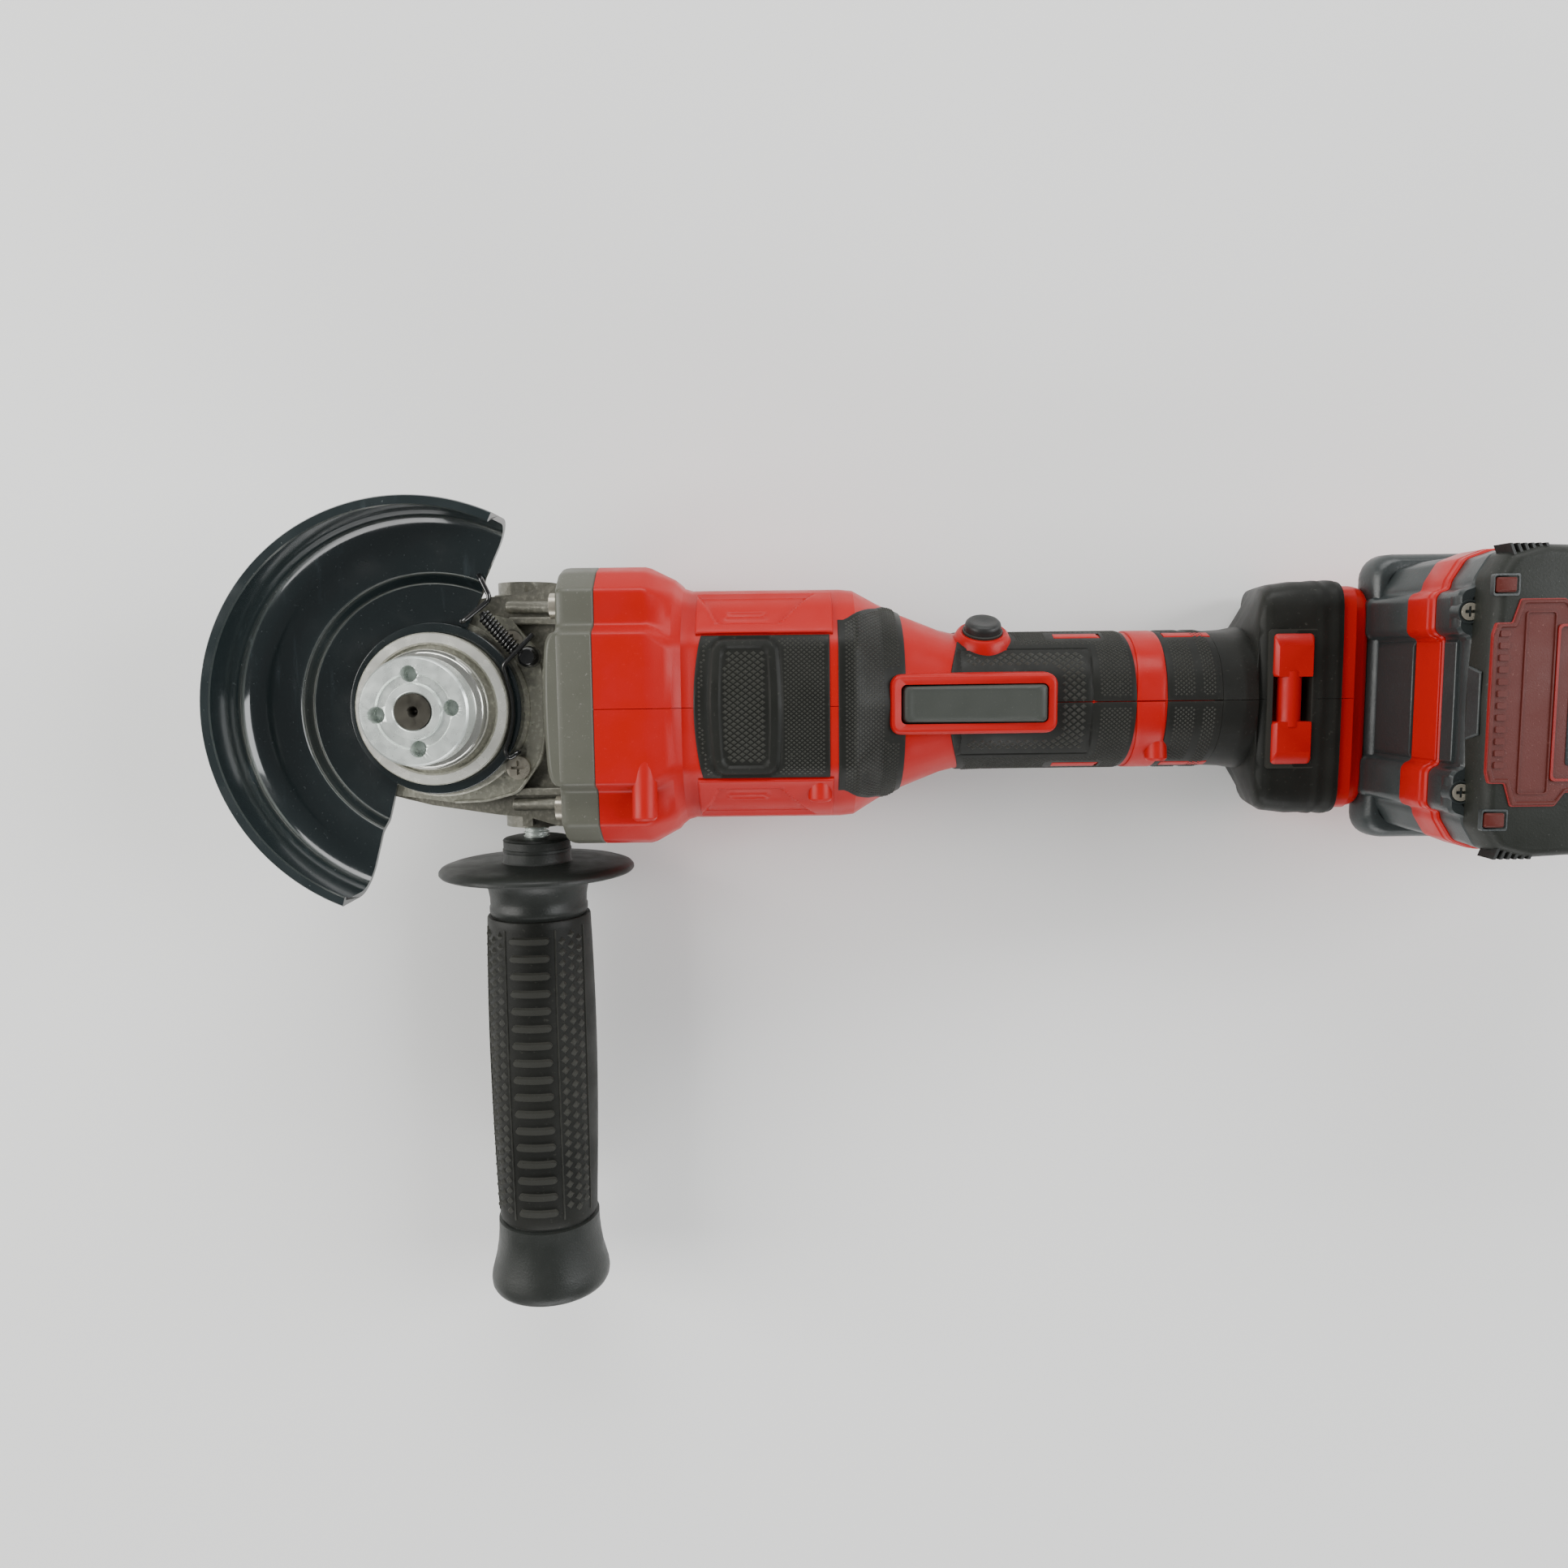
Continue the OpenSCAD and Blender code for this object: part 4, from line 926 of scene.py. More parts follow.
flank = []
for s in (1, -1):
    ts = sorted(s * t for t in fine(20.5, 37.4, 0.6))
    flank.append(patch(fine(77.4, 115.6, 0.6), ts, rise=1.0, sink=0.8, relief=flank_relief))
flank += [mirror_under(p) for p in flank]
put("flank_panels", join_parts(flank), "body", "red_plastic", sharp=24)


# Grip rubber, in two halves, with a coarse panel under the palm

def grip_hole(x, t):
    p = skin(x, t)
    return (abs(p[1]) < 6.4 and p[2] > 48 and 132 < x < 178.6) or near_button(*p, 6.9)


def sweep(u):
    """How far the grip's front edge is swept back at a share of the half girth."""
    return 5.0 * math.sin(math.pi * min(1.0, u * 1.1)) ** 2


def grip_edge(x, t):
    """Front edge of the grip rubber, swept back along the flanks."""
    total = Section.at(165).total
    u = abs(t) / total
    front = 148.8 + sweep(u)
    return (front + (x - 150.4) * (203.6 - front) / (203.6 - 150.4) - 1.0 * (u if x > 200 else 0), t)


def palm_line(x, t):
    """A groove round the palm panel."""
    d = min(x - 153.0, 191.0 - x, 17.0 - abs(t))
    return -0.4 * max(0.0, 1 - abs(d) / 0.5)


girth = Section.at(190).total


def in_palm(x, t):
    return 154.2 < x < 189.8 and abs(t) < 15.9 and not grip_keepout(x, t)


def grip_keepout(x, t):
    p = skin(x, t)
    return (abs(p[1]) < 9.6 and p[2] > 48 and 130 < x < 181.2) or near_button(*p, 9.0)


def in_grip(x, t):
    if abs(t) < 1.0 or abs(t) > girth - 1.4 or grip_keepout(x, t):
        return False
    front = 150.2 + sweep(abs(t) / girth)
    return front < x < 202.6 and not (151.8 < x < 192.2 and abs(t) < 18.2) \
        and not (180.5 < x < 196.5 and 21.6 < abs(t) < 27.6)


def in_cuff(x, t):
    return 213.6 < x < 221.2 and 1.0 < abs(t) < girth - 1.4 and not (21.6 < abs(t) < 27.6)


def in_cuff_rear(x, t):
    return 222.2 < x < 227.2 and 1.0 < abs(t) < girth - 1.4


WINDOW_T = (22.6, 26.6)


def flank_window(x, t):
    """Where the red of the flank shows through the grip rubber."""
    a = 0 < min(x - (181.5 + 0.25 * (abs(t) - 22)), 195.5 - x, abs(t) - WINDOW_T[0], WINDOW_T[1] - abs(t))
    b = 0 < min(x - 214.4, 229.0 - x, abs(t) - WINDOW_T[0], WINDOW_T[1] - abs(t))
    return a or b


for side, word in SIDES:
    ts = sorted(set([side * t for t in fine(0.09, girth - 0.09, 1.5)]
                    + [side * v for v in WINDOW_T + (16.6, 17.0, 17.4)]))
    xs_main = sorted(set(fine(150.4, 203.6, 1.5) + [152.6, 153.0, 153.4, 190.6, 191.0, 191.4, 181.5, 195.5]))
    parts = [patch(xs_main, ts, warp=grip_edge, hole=lambda x, t: grip_hole(x, t) or flank_window(x, t),
                   shape=palm_line), patch(sorted(set(fine(212.4, 228.4, 1.2) + [214.4])), ts,
                                           hole=flank_window, shape=lambda x, t: -0.55 * max(0.0,
            1 - min(abs(x - 221.6), abs(x - 227.6)) / 0.5)), diamonds(150.0, 204.0, min(0, side * girth),
            max(0, side * girth), in_grip), diamonds(212.6, 221.6, min(0, side * girth), max(0, side * girth),
                                                     in_cuff), diamonds(221.6, 227.6, min(0, side * girth),
            max(0, side * girth), in_cuff_rear), diamonds(153.0, 191.0, min(0, side * 17), max(0, side * 17),
                                                          in_palm, 2.6, 2.1, 0.36, 0.5)]
    put("grip_rubber_" + word, join_parts(parts), "body", "rubber", ["grip_" + word], sharp=28)

# The red ring between the grip's two lengths of rubber stands a little proud, and widens on the flanks
ring_parts = []
for side in (1, -1):
    ts = [side * t for t in fine(0.09, girth - 0.09, 1.6)]
    ring_parts.append(patch(fine(203.9, 212.1, 1.0), sorted(ts), rise=0.55,
                            warp=lambda x, t: (x - 1.3 * (1 - abs(t) / girth * 2) ** 2 + 0.8, t)))
    ts = [side * t for t in fine(22.9, 26.3, 0.8)]
    ring_parts.append(patch(fine(182.0, 195.2, 1.2), sorted(ts), rise=0.5))
    ring_parts.append(patch(fine(214.6, 228.4, 1.2), sorted(ts), rise=0.5))
put("grip_ring", join_parts(ring_parts), "body", "red_plastic", sharp=40)


def boot_depth(x):
    """Rubber over the cone and the foot, with two raised lips."""
    if x < 240:
        return -0.15
    lips = [(257.6, 0.8, 0.3), (261.9, 1.0, 0.35)]
    out = 0.2 + sum(h * math.exp(-((x - c) / w) ** 4) for c, w, h in lips)
    return -out


boot_xs = xs_between(228.45, 263.8, 1.0, TETHER_SLOT + (257.0, 259.8, 262.6))
for side, word in SIDES:
    boot = half_shell(boot_xs, side, boot_depth, wall=1.3, hole=in_tether_slot)
    boot = lean(([(x, y, max(z, 0.1)) for x, y, z in boot[0]], boot[1]))
    put("foot_rubber_" + word, boot, "body", "rubber", ["foot_boot"], sharp=40, bevel=0.3, angle=50)


# Trigger, its frame and the lock-on button

def rounded_rect(x0, x1, y0, y1, r, steps=6):
    out = []
    for cx, cy, a in ((x1 - r, y1 - r, 0), (x0 + r, y1 - r, 90), (x0 + r, y0 + r, 180), (x1 - r, y0 + r, 270)):
        for k in range(steps + 1):
            t = math.radians(a + 90 * k / steps)
            out.append((cx + r * math.cos(t), cy + r * math.sin(t)))
    return out


def mid_rect(x0, x1, half, r, steps=6):
    """A rounded rectangle that is symmetrical about the tool's middle."""
    return rounded_rect(x0, x1, -half, half, r, steps)


def stack(levels):
    """Closed solid through outlines of equal length, each at its own height."""
    n = len(levels[0][0])
    points = [(p[0], p[1], z) for outline, z in levels for p in outline]
    faces = [tuple(range(n))[::-1], tuple(range((len(levels) - 1) * n, len(levels) * n))]
    for k in range(len(levels) - 1):
        faces += [(k * n + i, k * n + (i + 1) % n, (k + 1) * n + (i + 1) % n, (k + 1) * n + i)
                  for i in range(n)]
    return points, faces


def ring_stack(levels):
    """Closed ring from (outer outline, inner outline, height) levels, top to bottom and back inside."""
    n = len(levels[0][0])
    loops = [[(p[0], p[1], z) for p in outer] for outer, inner, z in levels]
    loops += [[(p[0], p[1], z) for p in inner] for outer, inner, z in reversed(levels)]
    points = [p for loop in loops for p in loop]
    m = len(loops)
    faces = [(k * n + i, k * n + (i + 1) % n, ((k + 1) % m) * n + (i + 1) % n, ((k + 1) % m) * n + i)
             for k in range(m) for i in range(n)]
    return points, faces


def frame_level(grow, inner_grow, z):
    """One level of the trigger's frame, its outside and its opening grown by a distance."""
    return (mid_rect(131.8 - grow, 179.8 + grow, 8.5 + grow, 3.2 + grow),
            mid_rect(134.9 - inner_grow, 177.1 + inner_grow, 5.62 + inner_grow, 1.6 + inner_grow), z)


def follow_neck(part):
    """Lifts the frame's front end so that it stays above the neck's rubber."""
    return [(x, y, z + max(0.0, Section.at(x).pts[0].y + 1.1 - 64.0) * (1 if z > 55 else 0)) for x, y,
            z in part[0]], part[1]


put("trigger_frame", follow_neck(ring_stack([frame_level(*level) for level in ((0.6, 0, 54), (0.25, 0, 60),
        (0, 0, 63.0), (-0.35, 0, 63.7), (-0.9, 0.0, 64.0), (-1.5, 0.3, 64.0))])), "body", "red_plastic",
    sharp=40)
put("trigger_well", ring_stack([(mid_rect(134.6, 177.4, 5.9, 1.6), mid_rect(135.0, 177.0, 5.56, 1.5), z)
                                for z in (48, 63.2)]), "body", "black_plastic")


def trigger_level(x_in, y_in, z):
    return mid_rect(135.35 + x_in, 176.65 - x_in, 5.3 - y_in, 1.3), z


put("trigger_key", stack([trigger_level(*level) for level in ((0, 0, 50.5), (0, 0, 64.2), (0.25, 0.15, 65.0),
        (1.0, 0.5, 65.5), (2.2, 1.0, 65.7), (2.6, 1.3, 65.55), (3.6, 2.0, 65.5))]), "trigger", "trigger_grey",
    ["trigger"], sharp=40)

tilt = Matrix.Translation((BUTTON_X, 0, MOTOR_Z)) @ Matrix.Rotation(-BUTTON_TILT, 4, "X")
put("lock_button_cap", lathe([(0.01, 15), (5.35, 15), (5.35, 25.4), (5.15, 26.2), (4.6, 26.8), (4.0, 27.0),
                              (2.6, 26.75), (0.01, 26.6)], 56, place=tilt), "lock_button", "black_plastic",
    ["lock_button"])
put("lock_button_collar", lathe([(5.5, 17), (9.4, 17), (8.8, 20.6), (8.0, 22.0), (7.5, 23.0), (6.9, 23.5),
                                 (6.1, 23.5), (5.5, 23.1)], 64, place=tilt), "body", "red_plastic")
put("lock_button_lip", lathe([(5.46, 20), (5.9, 20), (5.9, 24.0), (5.46, 24.2)], 48, place=tilt), "body",
    "rubber")

# Tether bracket, the red ring behind the foot and the platform under the battery
BAR_X0, BAR_X1 = 243.6, 255.2


def tether_bracket():
    """Two chamfered blocks with a round bar between them."""
    mid = (BAR_X0 + BAR_X1) / 2 - 0.3
    parts = [tube([(mid, -8, 55.4), (mid, 8, 55.4)], 3.3, 32)]
    for side in (1, -1):
        lo, hi = sorted((side * 6.5, side * 19.0))
        levels = [(0, 0, 50.0), (0, 0, 56.8), (0.3, 0.3, 57.6), (1.2, 0.9, 58.4)]
        parts.append(stack([(rounded_rect(BAR_X0 + x, BAR_X1 - 0.5 * x, lo + (0 if side > 0 else 3 * x),
                                          hi - (3 * x if side > 0 else 0), 1.2 - y, 5), z) for x, y,
                            z in levels]))
    return join_parts(parts)


put("tether_bracket", tether_bracket(), "body", "red_plastic", ["tether_bar"], sharp=35, bevel=0.35)
put("tether_pocket", ring_stack([(mid_rect(BAR_X0 - 1.4, BAR_X1 + 1.4, 20.2, 1.2),
                                  mid_rect(BAR_X0 + 0.2, BAR_X1 - 0.2, 18.8, 1.0), z) for z in (50.0, 56.9)]),
    "body", "rubber", sharp=40)
put("tether_floor", stack([(mid_rect(BAR_X0 - 1.2, BAR_X1 + 1.2, 20, 1.2), z) for z in (49.2, 50.5)]), "body",
    "red_plastic")


def yz_ring(x, grow):
    return [(x, y, z) for y, z in rounded_rect(-33 - grow, 33 + grow, 3 - grow, 52 + grow, 9 + grow, 8)]


put("rear_ring", skin_stack([yz_ring(264.5, 0), yz_ring(269.2, 0.2), yz_ring(271.8, 0), yz_ring(273.2, -0.5),
                             yz_ring(273.8, -1.4)]), "body", "red_plastic", sharp=50)


def platform_half(side):
    def solid(x0, x1, outline):
        return prism([(side * y, z) for y, z in outline], x0, x1, "x")
    tall = [(SEAM, 0.05), (28.6, 0.05), (31, 2.6), (31, 41.6), (SEAM, 41.6)]
    rail = [(SEAM, 0.05), (28.6, 0.05), (31, 2.6), (31, 41.6), (24.6, 41.6), (24.6, 37), (27.6, 37),
            (27.6, 32.5), (24.6, 32.5), (24.6, 31), (SEAM, 31)]
    return join_parts([solid(266, 275.5, tall), solid(275.5, 352, rail)])


for side, word in SIDES:
    put("platform_" + word, platform_half(side), "body", "red_plastic", bevel=0.8)


# ---- the battery ------------------------------------------------------------------

PACK_X0, PACK_X1, PACK_W = 275.5, 390.5, 39.6
SCREW_Y = 23.0
RIM_WAIST = 1.9  # how far the rim's sides draw in over its height


def arc_corner(points, radius, steps=4):
    """Rounds the corners of a closed outline."""
    out = []
    for i, c in enumerate(points):
        p, c, n = Vector(points[i - 1]), Vector(c), Vector(points[(i + 1) % len(points)])
        r = min(radius, (p - c).length * 0.45, (n - c).length * 0.45)
        a, b = c + (p - c).normalized() * r, c + (n - c).normalized() * r
        out += [tuple(a.lerp(c, k / steps).lerp(c.lerp(b, k / steps), k / steps)) for k in range(steps + 1)]
    return out


def pack_outline(by=0.0, column=True, waist_in=0.0):
    """Plan of the battery, sunk by a distance, with or without the two screw columns on its front."""
    x0, x1, w = PACK_X0 + by, PACK_X1 - by, PACK_W - by
    half = [(x0, 0)]
    if column:
        a, b, front = SCREW_Y - 5.6 + by * 0.5, SCREW_Y + 5.6 - by * 0.5, 272.6 + by
        half += [(x0, a - 0.8), (front + 0.9, a), (front, a + 1.3), (front, b - 1.3), (front + 0.9, b),
                 (x0 + 0.6, b + 0.8)]
    half += [(x0 + 0.9, 31.5 - by * 0.4), (x0 + 4.4, 37.2 - by * 0.6), (x0 + 11, w),
             (x0 + 26, w - waist_in * 0.5), (x1 - 10, w - waist_in), (x1 - 2.0, 33 - by * 0.4), (x1, 27)]
    return arc_corner(half + [(x, -y) for x, y in reversed(half[1:])], 1.1)


def pack_shell(levels, column=True, wall=2.4, low_cap=False, high_cap=False):
    """A shell between two heights: its outside as (height, depth, waist) levels, then the same inside."""
    loops = [[(x, y, z) for x, y in pack_outline(by, column, waist_in)] for z, by, waist_in in levels]
    n = len(loops[0])
    inner = [[(x, y, z) for x, y in pack_outline(by + wall, column, waist_in)] for z, by, waist_in in levels]
    if low_cap:
        inner[0] = [(x, y, z + wall) for x, y, z in inner[0]]
    if high_cap:
        inner[-1] = [(x, y, z - wall) for x, y, z in inner[-1]]
    order = loops + inner[::-1]
    points = [p for loop in order for p in loop]
    faces = [(k * n + i, k * n + (i + 1) % n, (k + 1) * n + (i + 1) % n, (k + 1) * n + i)
             for k in range(len(order) - 1) for i in range(n)]
    m = len(order)
    if low_cap:
        return points, faces + [tuple(range(n))[::-1], tuple(range((m - 1) * n, m * n))]
    if high_cap:
        k = len(loops) - 1
        faces = [f for f in faces if not (k * n <= f[0] < (k + 1) * n and f[2] >= (k + 1) * n)]
        faces += [tuple(range(k * n, (k + 1) * n)), tuple(range((k + 1) * n, (k + 2) * n))[::-1]]
    faces += [((m - 1) * n + i, (m - 1) * n + (i + 1) % n, (i + 1) % n, i) for i in range(n)]
    return points, faces


put("pack_lower", pack_shell([(42.5, 2.6, 0), (43.2, 1.6, 0), (44.6, 0.9, 0), (49.4, 0.5, 0), (50.0, 0.1, 0),
                              (50.5, -0.15, 0), (52.4, -0.15, 0), (53.0, 0.3, 0), (54.0, 0.45, 0),
                              (73.0, 0.45, 0), (73.5, 0.7, 0)], low_cap=True), "battery", "pack_black",
    ["battery_rail_shell"], sharp=34)
put("pack_band", pack_shell([(73.55, 0.5, 0), (73.8, 0.05, 0), (74.3, -0.25, 0), (83.6, -0.25, 0),
                             (83.9, 0.15, 0), (84.1, 0.15, 0), (84.4, -0.1, 0), (85.9, -0.1, 0),
                             (86.35, 0.35, 0)]), "battery", "red_plastic", ["battery_band"], sharp=34)
put("pack_upper", pack_shell([(86.4, 0.6, 0), (86.9, 0.4, 0), (93.0, 0.45, 0), (93.5, 0.1, 0), (96.6, 0.0, 0.2),
                              (97.6, 0.6, 0.4)]), "battery", "pack_black", ["battery_base_shell"], sharp=34)
put("pack_rim", pack_shell([(96.8, 0.5, 0.3), (97.2, 0.15, 0.6), (100.5, 0.1, 1.0), (103.6, 0.5, 1.6),
                            (104.9, 1.1, RIM_WAIST), (105.7, 2.0, RIM_WAIST), (106.0, 3.0, RIM_WAIST)],
                           column=False, high_cap=True), "battery", "pack_grey", sharp=34)


def pack_lip():
    """The wider collar round the battery's lower edge."""
    levels = [(1.6, 42.6), (0.6, 43.2), (0.1, 44.6), (0.0, 46.0), (0.2, 50.4), (0.9, 52.0), (1.9, 53.0),
              (2.6, 53.4)]
    return ring_stack([(mid_rect(273.5 + by, 391.8 - by, 41.9 - by, 6.5 - by * 0.4),
                        mid_rect(277.5, 388.0, 37.0, 5.0), z) for by, z in levels])


put("pack_lip", pack_lip(), "battery", "pack_black", sharp=34)


def notch_teeth():
    """Small teeth along the low edge of the battery's front."""
    parts = [stack([(rounded_rect(273.7, 277.5, y - 1.0, y + 1.0, 0.5, 3), 43.0),
                    (rounded_rect(273.5, 277.5, y - 1.1, y + 1.1, 0.5, 3), 46.6)])
             for y in (10.5, 6.9, 2.9, -2.8, -6.9, -10.9)]
    parts += [stack([(rounded_rect(274.3, 277.0, y - 0.7, y + 0.7, 0.4, 3), 44.2),
                     (rounded_rect(274.3, 277.0, y - 0.7, y + 0.7, 0.4, 3), 48.4)])
              for y in (8.7, 4.9, 0.1, -4.9, -8.9)]
    return join_parts(parts)


put("pack_teeth", notch_teeth(), "battery", "pack_black", sharp=30)


def wall_panel(y0, y1, z0, z1, x=275.9, proud=0.9, slope=1.6):
    """A raised panel on the front wall with a wide chamfer round it."""
    outer = [(y0, z0), (y1, z0), (y1, z1), (y0, z1)]
    inner = [(y0 + slope, z0 + slope), (y1 - slope, z0 + slope), (y1 - slope, z1 - 0.2), (y0 + slope, z1 - 0.2)]
    points = [(x + 1.2, *p) for p in outer] + [(x, *p) for p in outer] + [(x - proud, *p) for p in inner]
    faces = [(0, 1, 2, 3), (11, 10, 9, 8)] + [(k + i, k + (i + 1) % 4, k + 4 + (i + 1) % 4, k + 4 + i)
                                              for k in (0, 4) for i in range(4)]
    return points, faces


put("pack_front_panel", join_parts([wall_panel(-16.2, 16.2, 53.2, 73.3),
                                    wall_panel(-16.2, 16.2, 86.9, 93.2, slope=0.9)]), "battery", "pack_black",
    bevel=0.35)
put("pack_front_band", wall_panel(-16.2, 16.2, 74.0, 86.1, slope=0.5), "battery", "red_plastic", bevel=0.3)


# Faces of a solid between two outlines of four points
FRUSTUM = [(0, 1, 2, 3), (7, 6, 5, 4)] + [(i, (i + 1) % 4, 4 + (i + 1) % 4, 4 + i) for i in range(4)]


def rim_recess():
    """The shallow grip recess in the middle of the rim, as its own darker inlay."""
    outline = [(-9.6, 97.6), (9.6, 97.6), (8.0, 103.2), (-8.0, 103.2)]
    points = [(275.9, y, z) for y, z in outline] + [(275.35, y * 0.94, z + (0.3 if z < 100 else -0.3)) for y,
                                                    z in outline]
    return points, FRUSTUM


put("rim_recess", rim_recess(), "battery", "pack_black", bevel=0.25)


def column_wells():
    """Collars of the two screw wells in the columns' tops."""
    profile = [(2.3, 94), (2.3, 97.4), (2.6, 97.85), (3.0, 97.85), (3.1, 97.4), (3.1, 94)]
    return join_parts([lathe(profile, 40, place=Matrix.Translation((275.3, s * SCREW_Y, 0))) for s in (1, -1)])


put("column_wells", column_wells(), "battery", "pack_black")
polish("battery_screws", "screw_steel", 0.2, 40)


LABEL_MID_X = 333  # the label panel is the same towards both ends from here


def label_outline(grow=0.0):
    """Plan of the red-brown panel on the base: a front tab, a wide body and the same mirrored at the back."""
    half = [(276.6, 0), (276.6, 16.6), (277.4, 19.4), (281.2, 19.4), (283.0, 25.2), (293.6, 25.2),
            (296.0, 21.8), (LABEL_MID_X, 21.8)]
    half = [(x - (grow if i < 5 else 0), y + grow if y else 0) for i, (x, y) in enumerate(half)]
    mirror_x = [(2 * LABEL_MID_X - x, y) for x, y in reversed(half[:-1])]
    upper = half + mirror_x
    return arc_corner(upper + [(x, -y) for x, y in reversed(upper[1:-1])], 0.5, 3)


def label_panel():
    """The panel, sunk a little inside a thin raised edge."""
    levels = [(label_outline(0.25), 105.2), (label_outline(0.25), 106.35), (label_outline(0.0), 106.6),
              (label_outline(-0.5), 106.6), (label_outline(-0.75), 106.25)]
    return stack(levels)


put("label_panel", label_panel(), "battery", "label_red", ["battery_label_plate"], sharp=30)
put("label_edge", ring_stack([(label_outline(0.5), label_outline(0.18), z) for z in (105.4, 106.3)]), "battery",
    "deep_red", sharp=30)


def label_tabs():
    """A row of small tongues along the panel's front, with a thin frame behind them."""
    parts = [stack([(rounded_rect(277.6, 280.4, y - 0.85, y + 0.85, 0.3, 3), 105.9),
                    (rounded_rect(277.9, 280.3, y - 0.75, y + 0.75, 0.3, 3), 106.6)])
             for y in [17.2 - 2.95 * k for k in range(12)]]
    parts.append(ring_stack([(mid_rect(284.0, 291.6, 22.6, 0.8, 3), mid_rect(284.35, 291.25, 22.25, 0.6, 3), z)
                             for z in (106.0, 106.55)]))
    return join_parts(parts)


put("label_tongues", label_tabs(), "battery", "label_red", sharp=30)
put("label_frame", ring_stack([(mid_rect(291.9, 374.1, 19.4, 1.2, 3), mid_rect(292.5, 373.5, 18.8, 1.0, 3), z)
                               for z in (106.0, 106.75)]), "battery", "deep_red", sharp=30)
put("label_window", stack([(mid_rect(295.6, 370.4, 15.6, 1.0, 3), 105.9),
                           (mid_rect(295.6, 370.4, 15.6, 1.0, 3), 106.4),
                           (mid_rect(296.0, 370.0, 15.2, 0.8, 3), 106.5)]), "battery", "pack_black", sharp=30)


def base_studs():
    """Red latch tongues in the front corners of the base."""
    parts = []
    for s in (1, -1):
        lo, hi = sorted((s * 27.2, s * 31.0))
        parts.append(stack([(rounded_rect(276.2, 281.4, lo, hi, 0.5, 4), 104.6),
                            (rounded_rect(276.4, 281.3, lo + 0.1, hi - 0.1, 0.5, 4), 106.3),
                            (rounded_rect(277.2, 281.0, lo + 0.5, hi - 0.5, 0.4, 4), 106.75)]))
    return join_parts(parts)


put("base_studs", base_studs(), "battery", "label_red", sharp=30)


def stud_wells():
    parts = []
    for s in (1, -1):
        lo, hi = sorted((s * 26.4, s * 31.8))
        parts.append(ring_stack([(rounded_rect(275.8, 282.3, lo, hi, 0.6, 4),
                                  rounded_rect(276.05, 281.9, lo + 0.5, hi - 0.5, 0.5, 4), z)
                                 for z in (104.6, 106.12)]))
    return join_parts(parts)


put("stud_wells", stud_wells(), "battery", "pack_black", sharp=30)


def corner_vents():
    """Slanted slots over the front corners of the base, as thin dark inlays: painted shade in place of the open
    slots.
    """
    parts = []
    for s in (1, -1):
        for k in range(6):
            x = 281.0 + 1.75 * k
            pts = [(x, 36.4), (x + 0.85, 36.4), (x - 0.35, 39.3), (x - 1.2, 39.3)]
            parts.append(prism([(px, s * py) for px, py in pts], 98.4, 104.95))
    return join_parts(parts)


put("corner_vents", corner_vents(), "battery", "black_plastic", bevel=0.12)


def side_ribs():
    """Shallow raised panels along the battery's flanks, below the band."""
    z0, z1, chamfer = 55.5, 70.5, 0.8
    parts = []
    for s in (1, -1):
        for x0, x1 in ((291, 316), (320, 345), (349, 374)):
            corners = [(x0, z0), (x1, z0), (x1, z1), (x0, z1)]
            points = [(x, s * 38.6, z) for x, z in corners]
            points += [(x + (chamfer if x == x0 else -chamfer), s * 39.75, z
                        + (chamfer if z == z0 else -chamfer)) for x, z in corners]
            parts.append((points, FRUSTUM))
    return join_parts(parts)


put("pack_side_panels", side_ribs(), "battery", "pack_black", bevel=0.4)


def rail_part():
    """The battery's foot that slides in the tool's channel."""
    return join_parts([block((277, -24.2, 36.6), (350, 24.2, 43.4)),
                       block((277, -27.2, 33.0), (350, 27.2, 36.7))])


put("pack_rail", rail_part(), "battery", "pack_black", bevel=0.5)
polish("battery_release_button", "red_plastic", 0.6)


# ---- the side handle ----------------------------------------------------------------

HANDLE_X, HANDLE_Z = 23.2, 32.0
AT_HANDLE = Matrix(((1, 0, 0, HANDLE_X), (0, 0, -1, 0), (0, 1, 0, HANDLE_Z), (0, 0, 0, 1)))


def thread_rod():
    """The stud's thread, as rounded turns."""
    profile = [(0.01, 25.2), (3.2, 25.2)]
    z = 25.6
    while z < 41.2:
        profile += [(3.42, z), (3.98, z + 0.42), (3.98, z + 0.62), (3.42, z + 1.05)]
        z += 1.25
    profile += [(3.4, 60), (0.01, 60)]
    return lathe(profile, 48, place=AT_HANDLE)


put("handle_thread", thread_rod(), "side_handle", "zinc", ["handle_stud"], sharp=50)


def handle_body():
    profile = [(4.1, 41.3), (8.6, 41.3), (9.9, 41.6), (10.4, 42.3), (10.4, 48.4), (10.8, 49.1), (12.0, 49.4),
               (22, 49.5), (27.5, 49.7), (29.6, 50.4), (30.25, 51.2), (30.3, 51.9), (29.9, 52.4), (28.0, 52.7),
               (20, 53.3), (17.6, 53.9), (16.2, 55.4), (15.5, 57.6), (15.1, 60), (15.0, 62.4), (15.3, 63.0),
               (15.3, 64.6), (14.8, 65.4), (14.8, 165.0), (16.1, 165.4), (16.15, 169), (16.5, 173),
               (17.2, 177.4), (18.1, 180.8), (18.8, 183.4), (19.0, 185.2), (18.8, 186.8), (18.2, 187.9),
               (17.0, 188.5), (14.6, 188.7), (4.1, 188.7)]
    closed = profile[:-1] + [(0.01, 188.7), (0.01, 60.2), (4.1, 60.2)]
    return lathe(closed, 96, place=AT_HANDLE)


put("handle_body", handle_body(), "side_handle", "handle_plastic", ["handle_core"], sharp=38)


def sleeve_r(s):
    """Radius of the rubber sleeve at a distance along the handle."""
    u = (s - 66) / 98
    return 15.6 + 1.3 * math.sin(math.pi * min(1.0, u * 0.9 + 0.12))


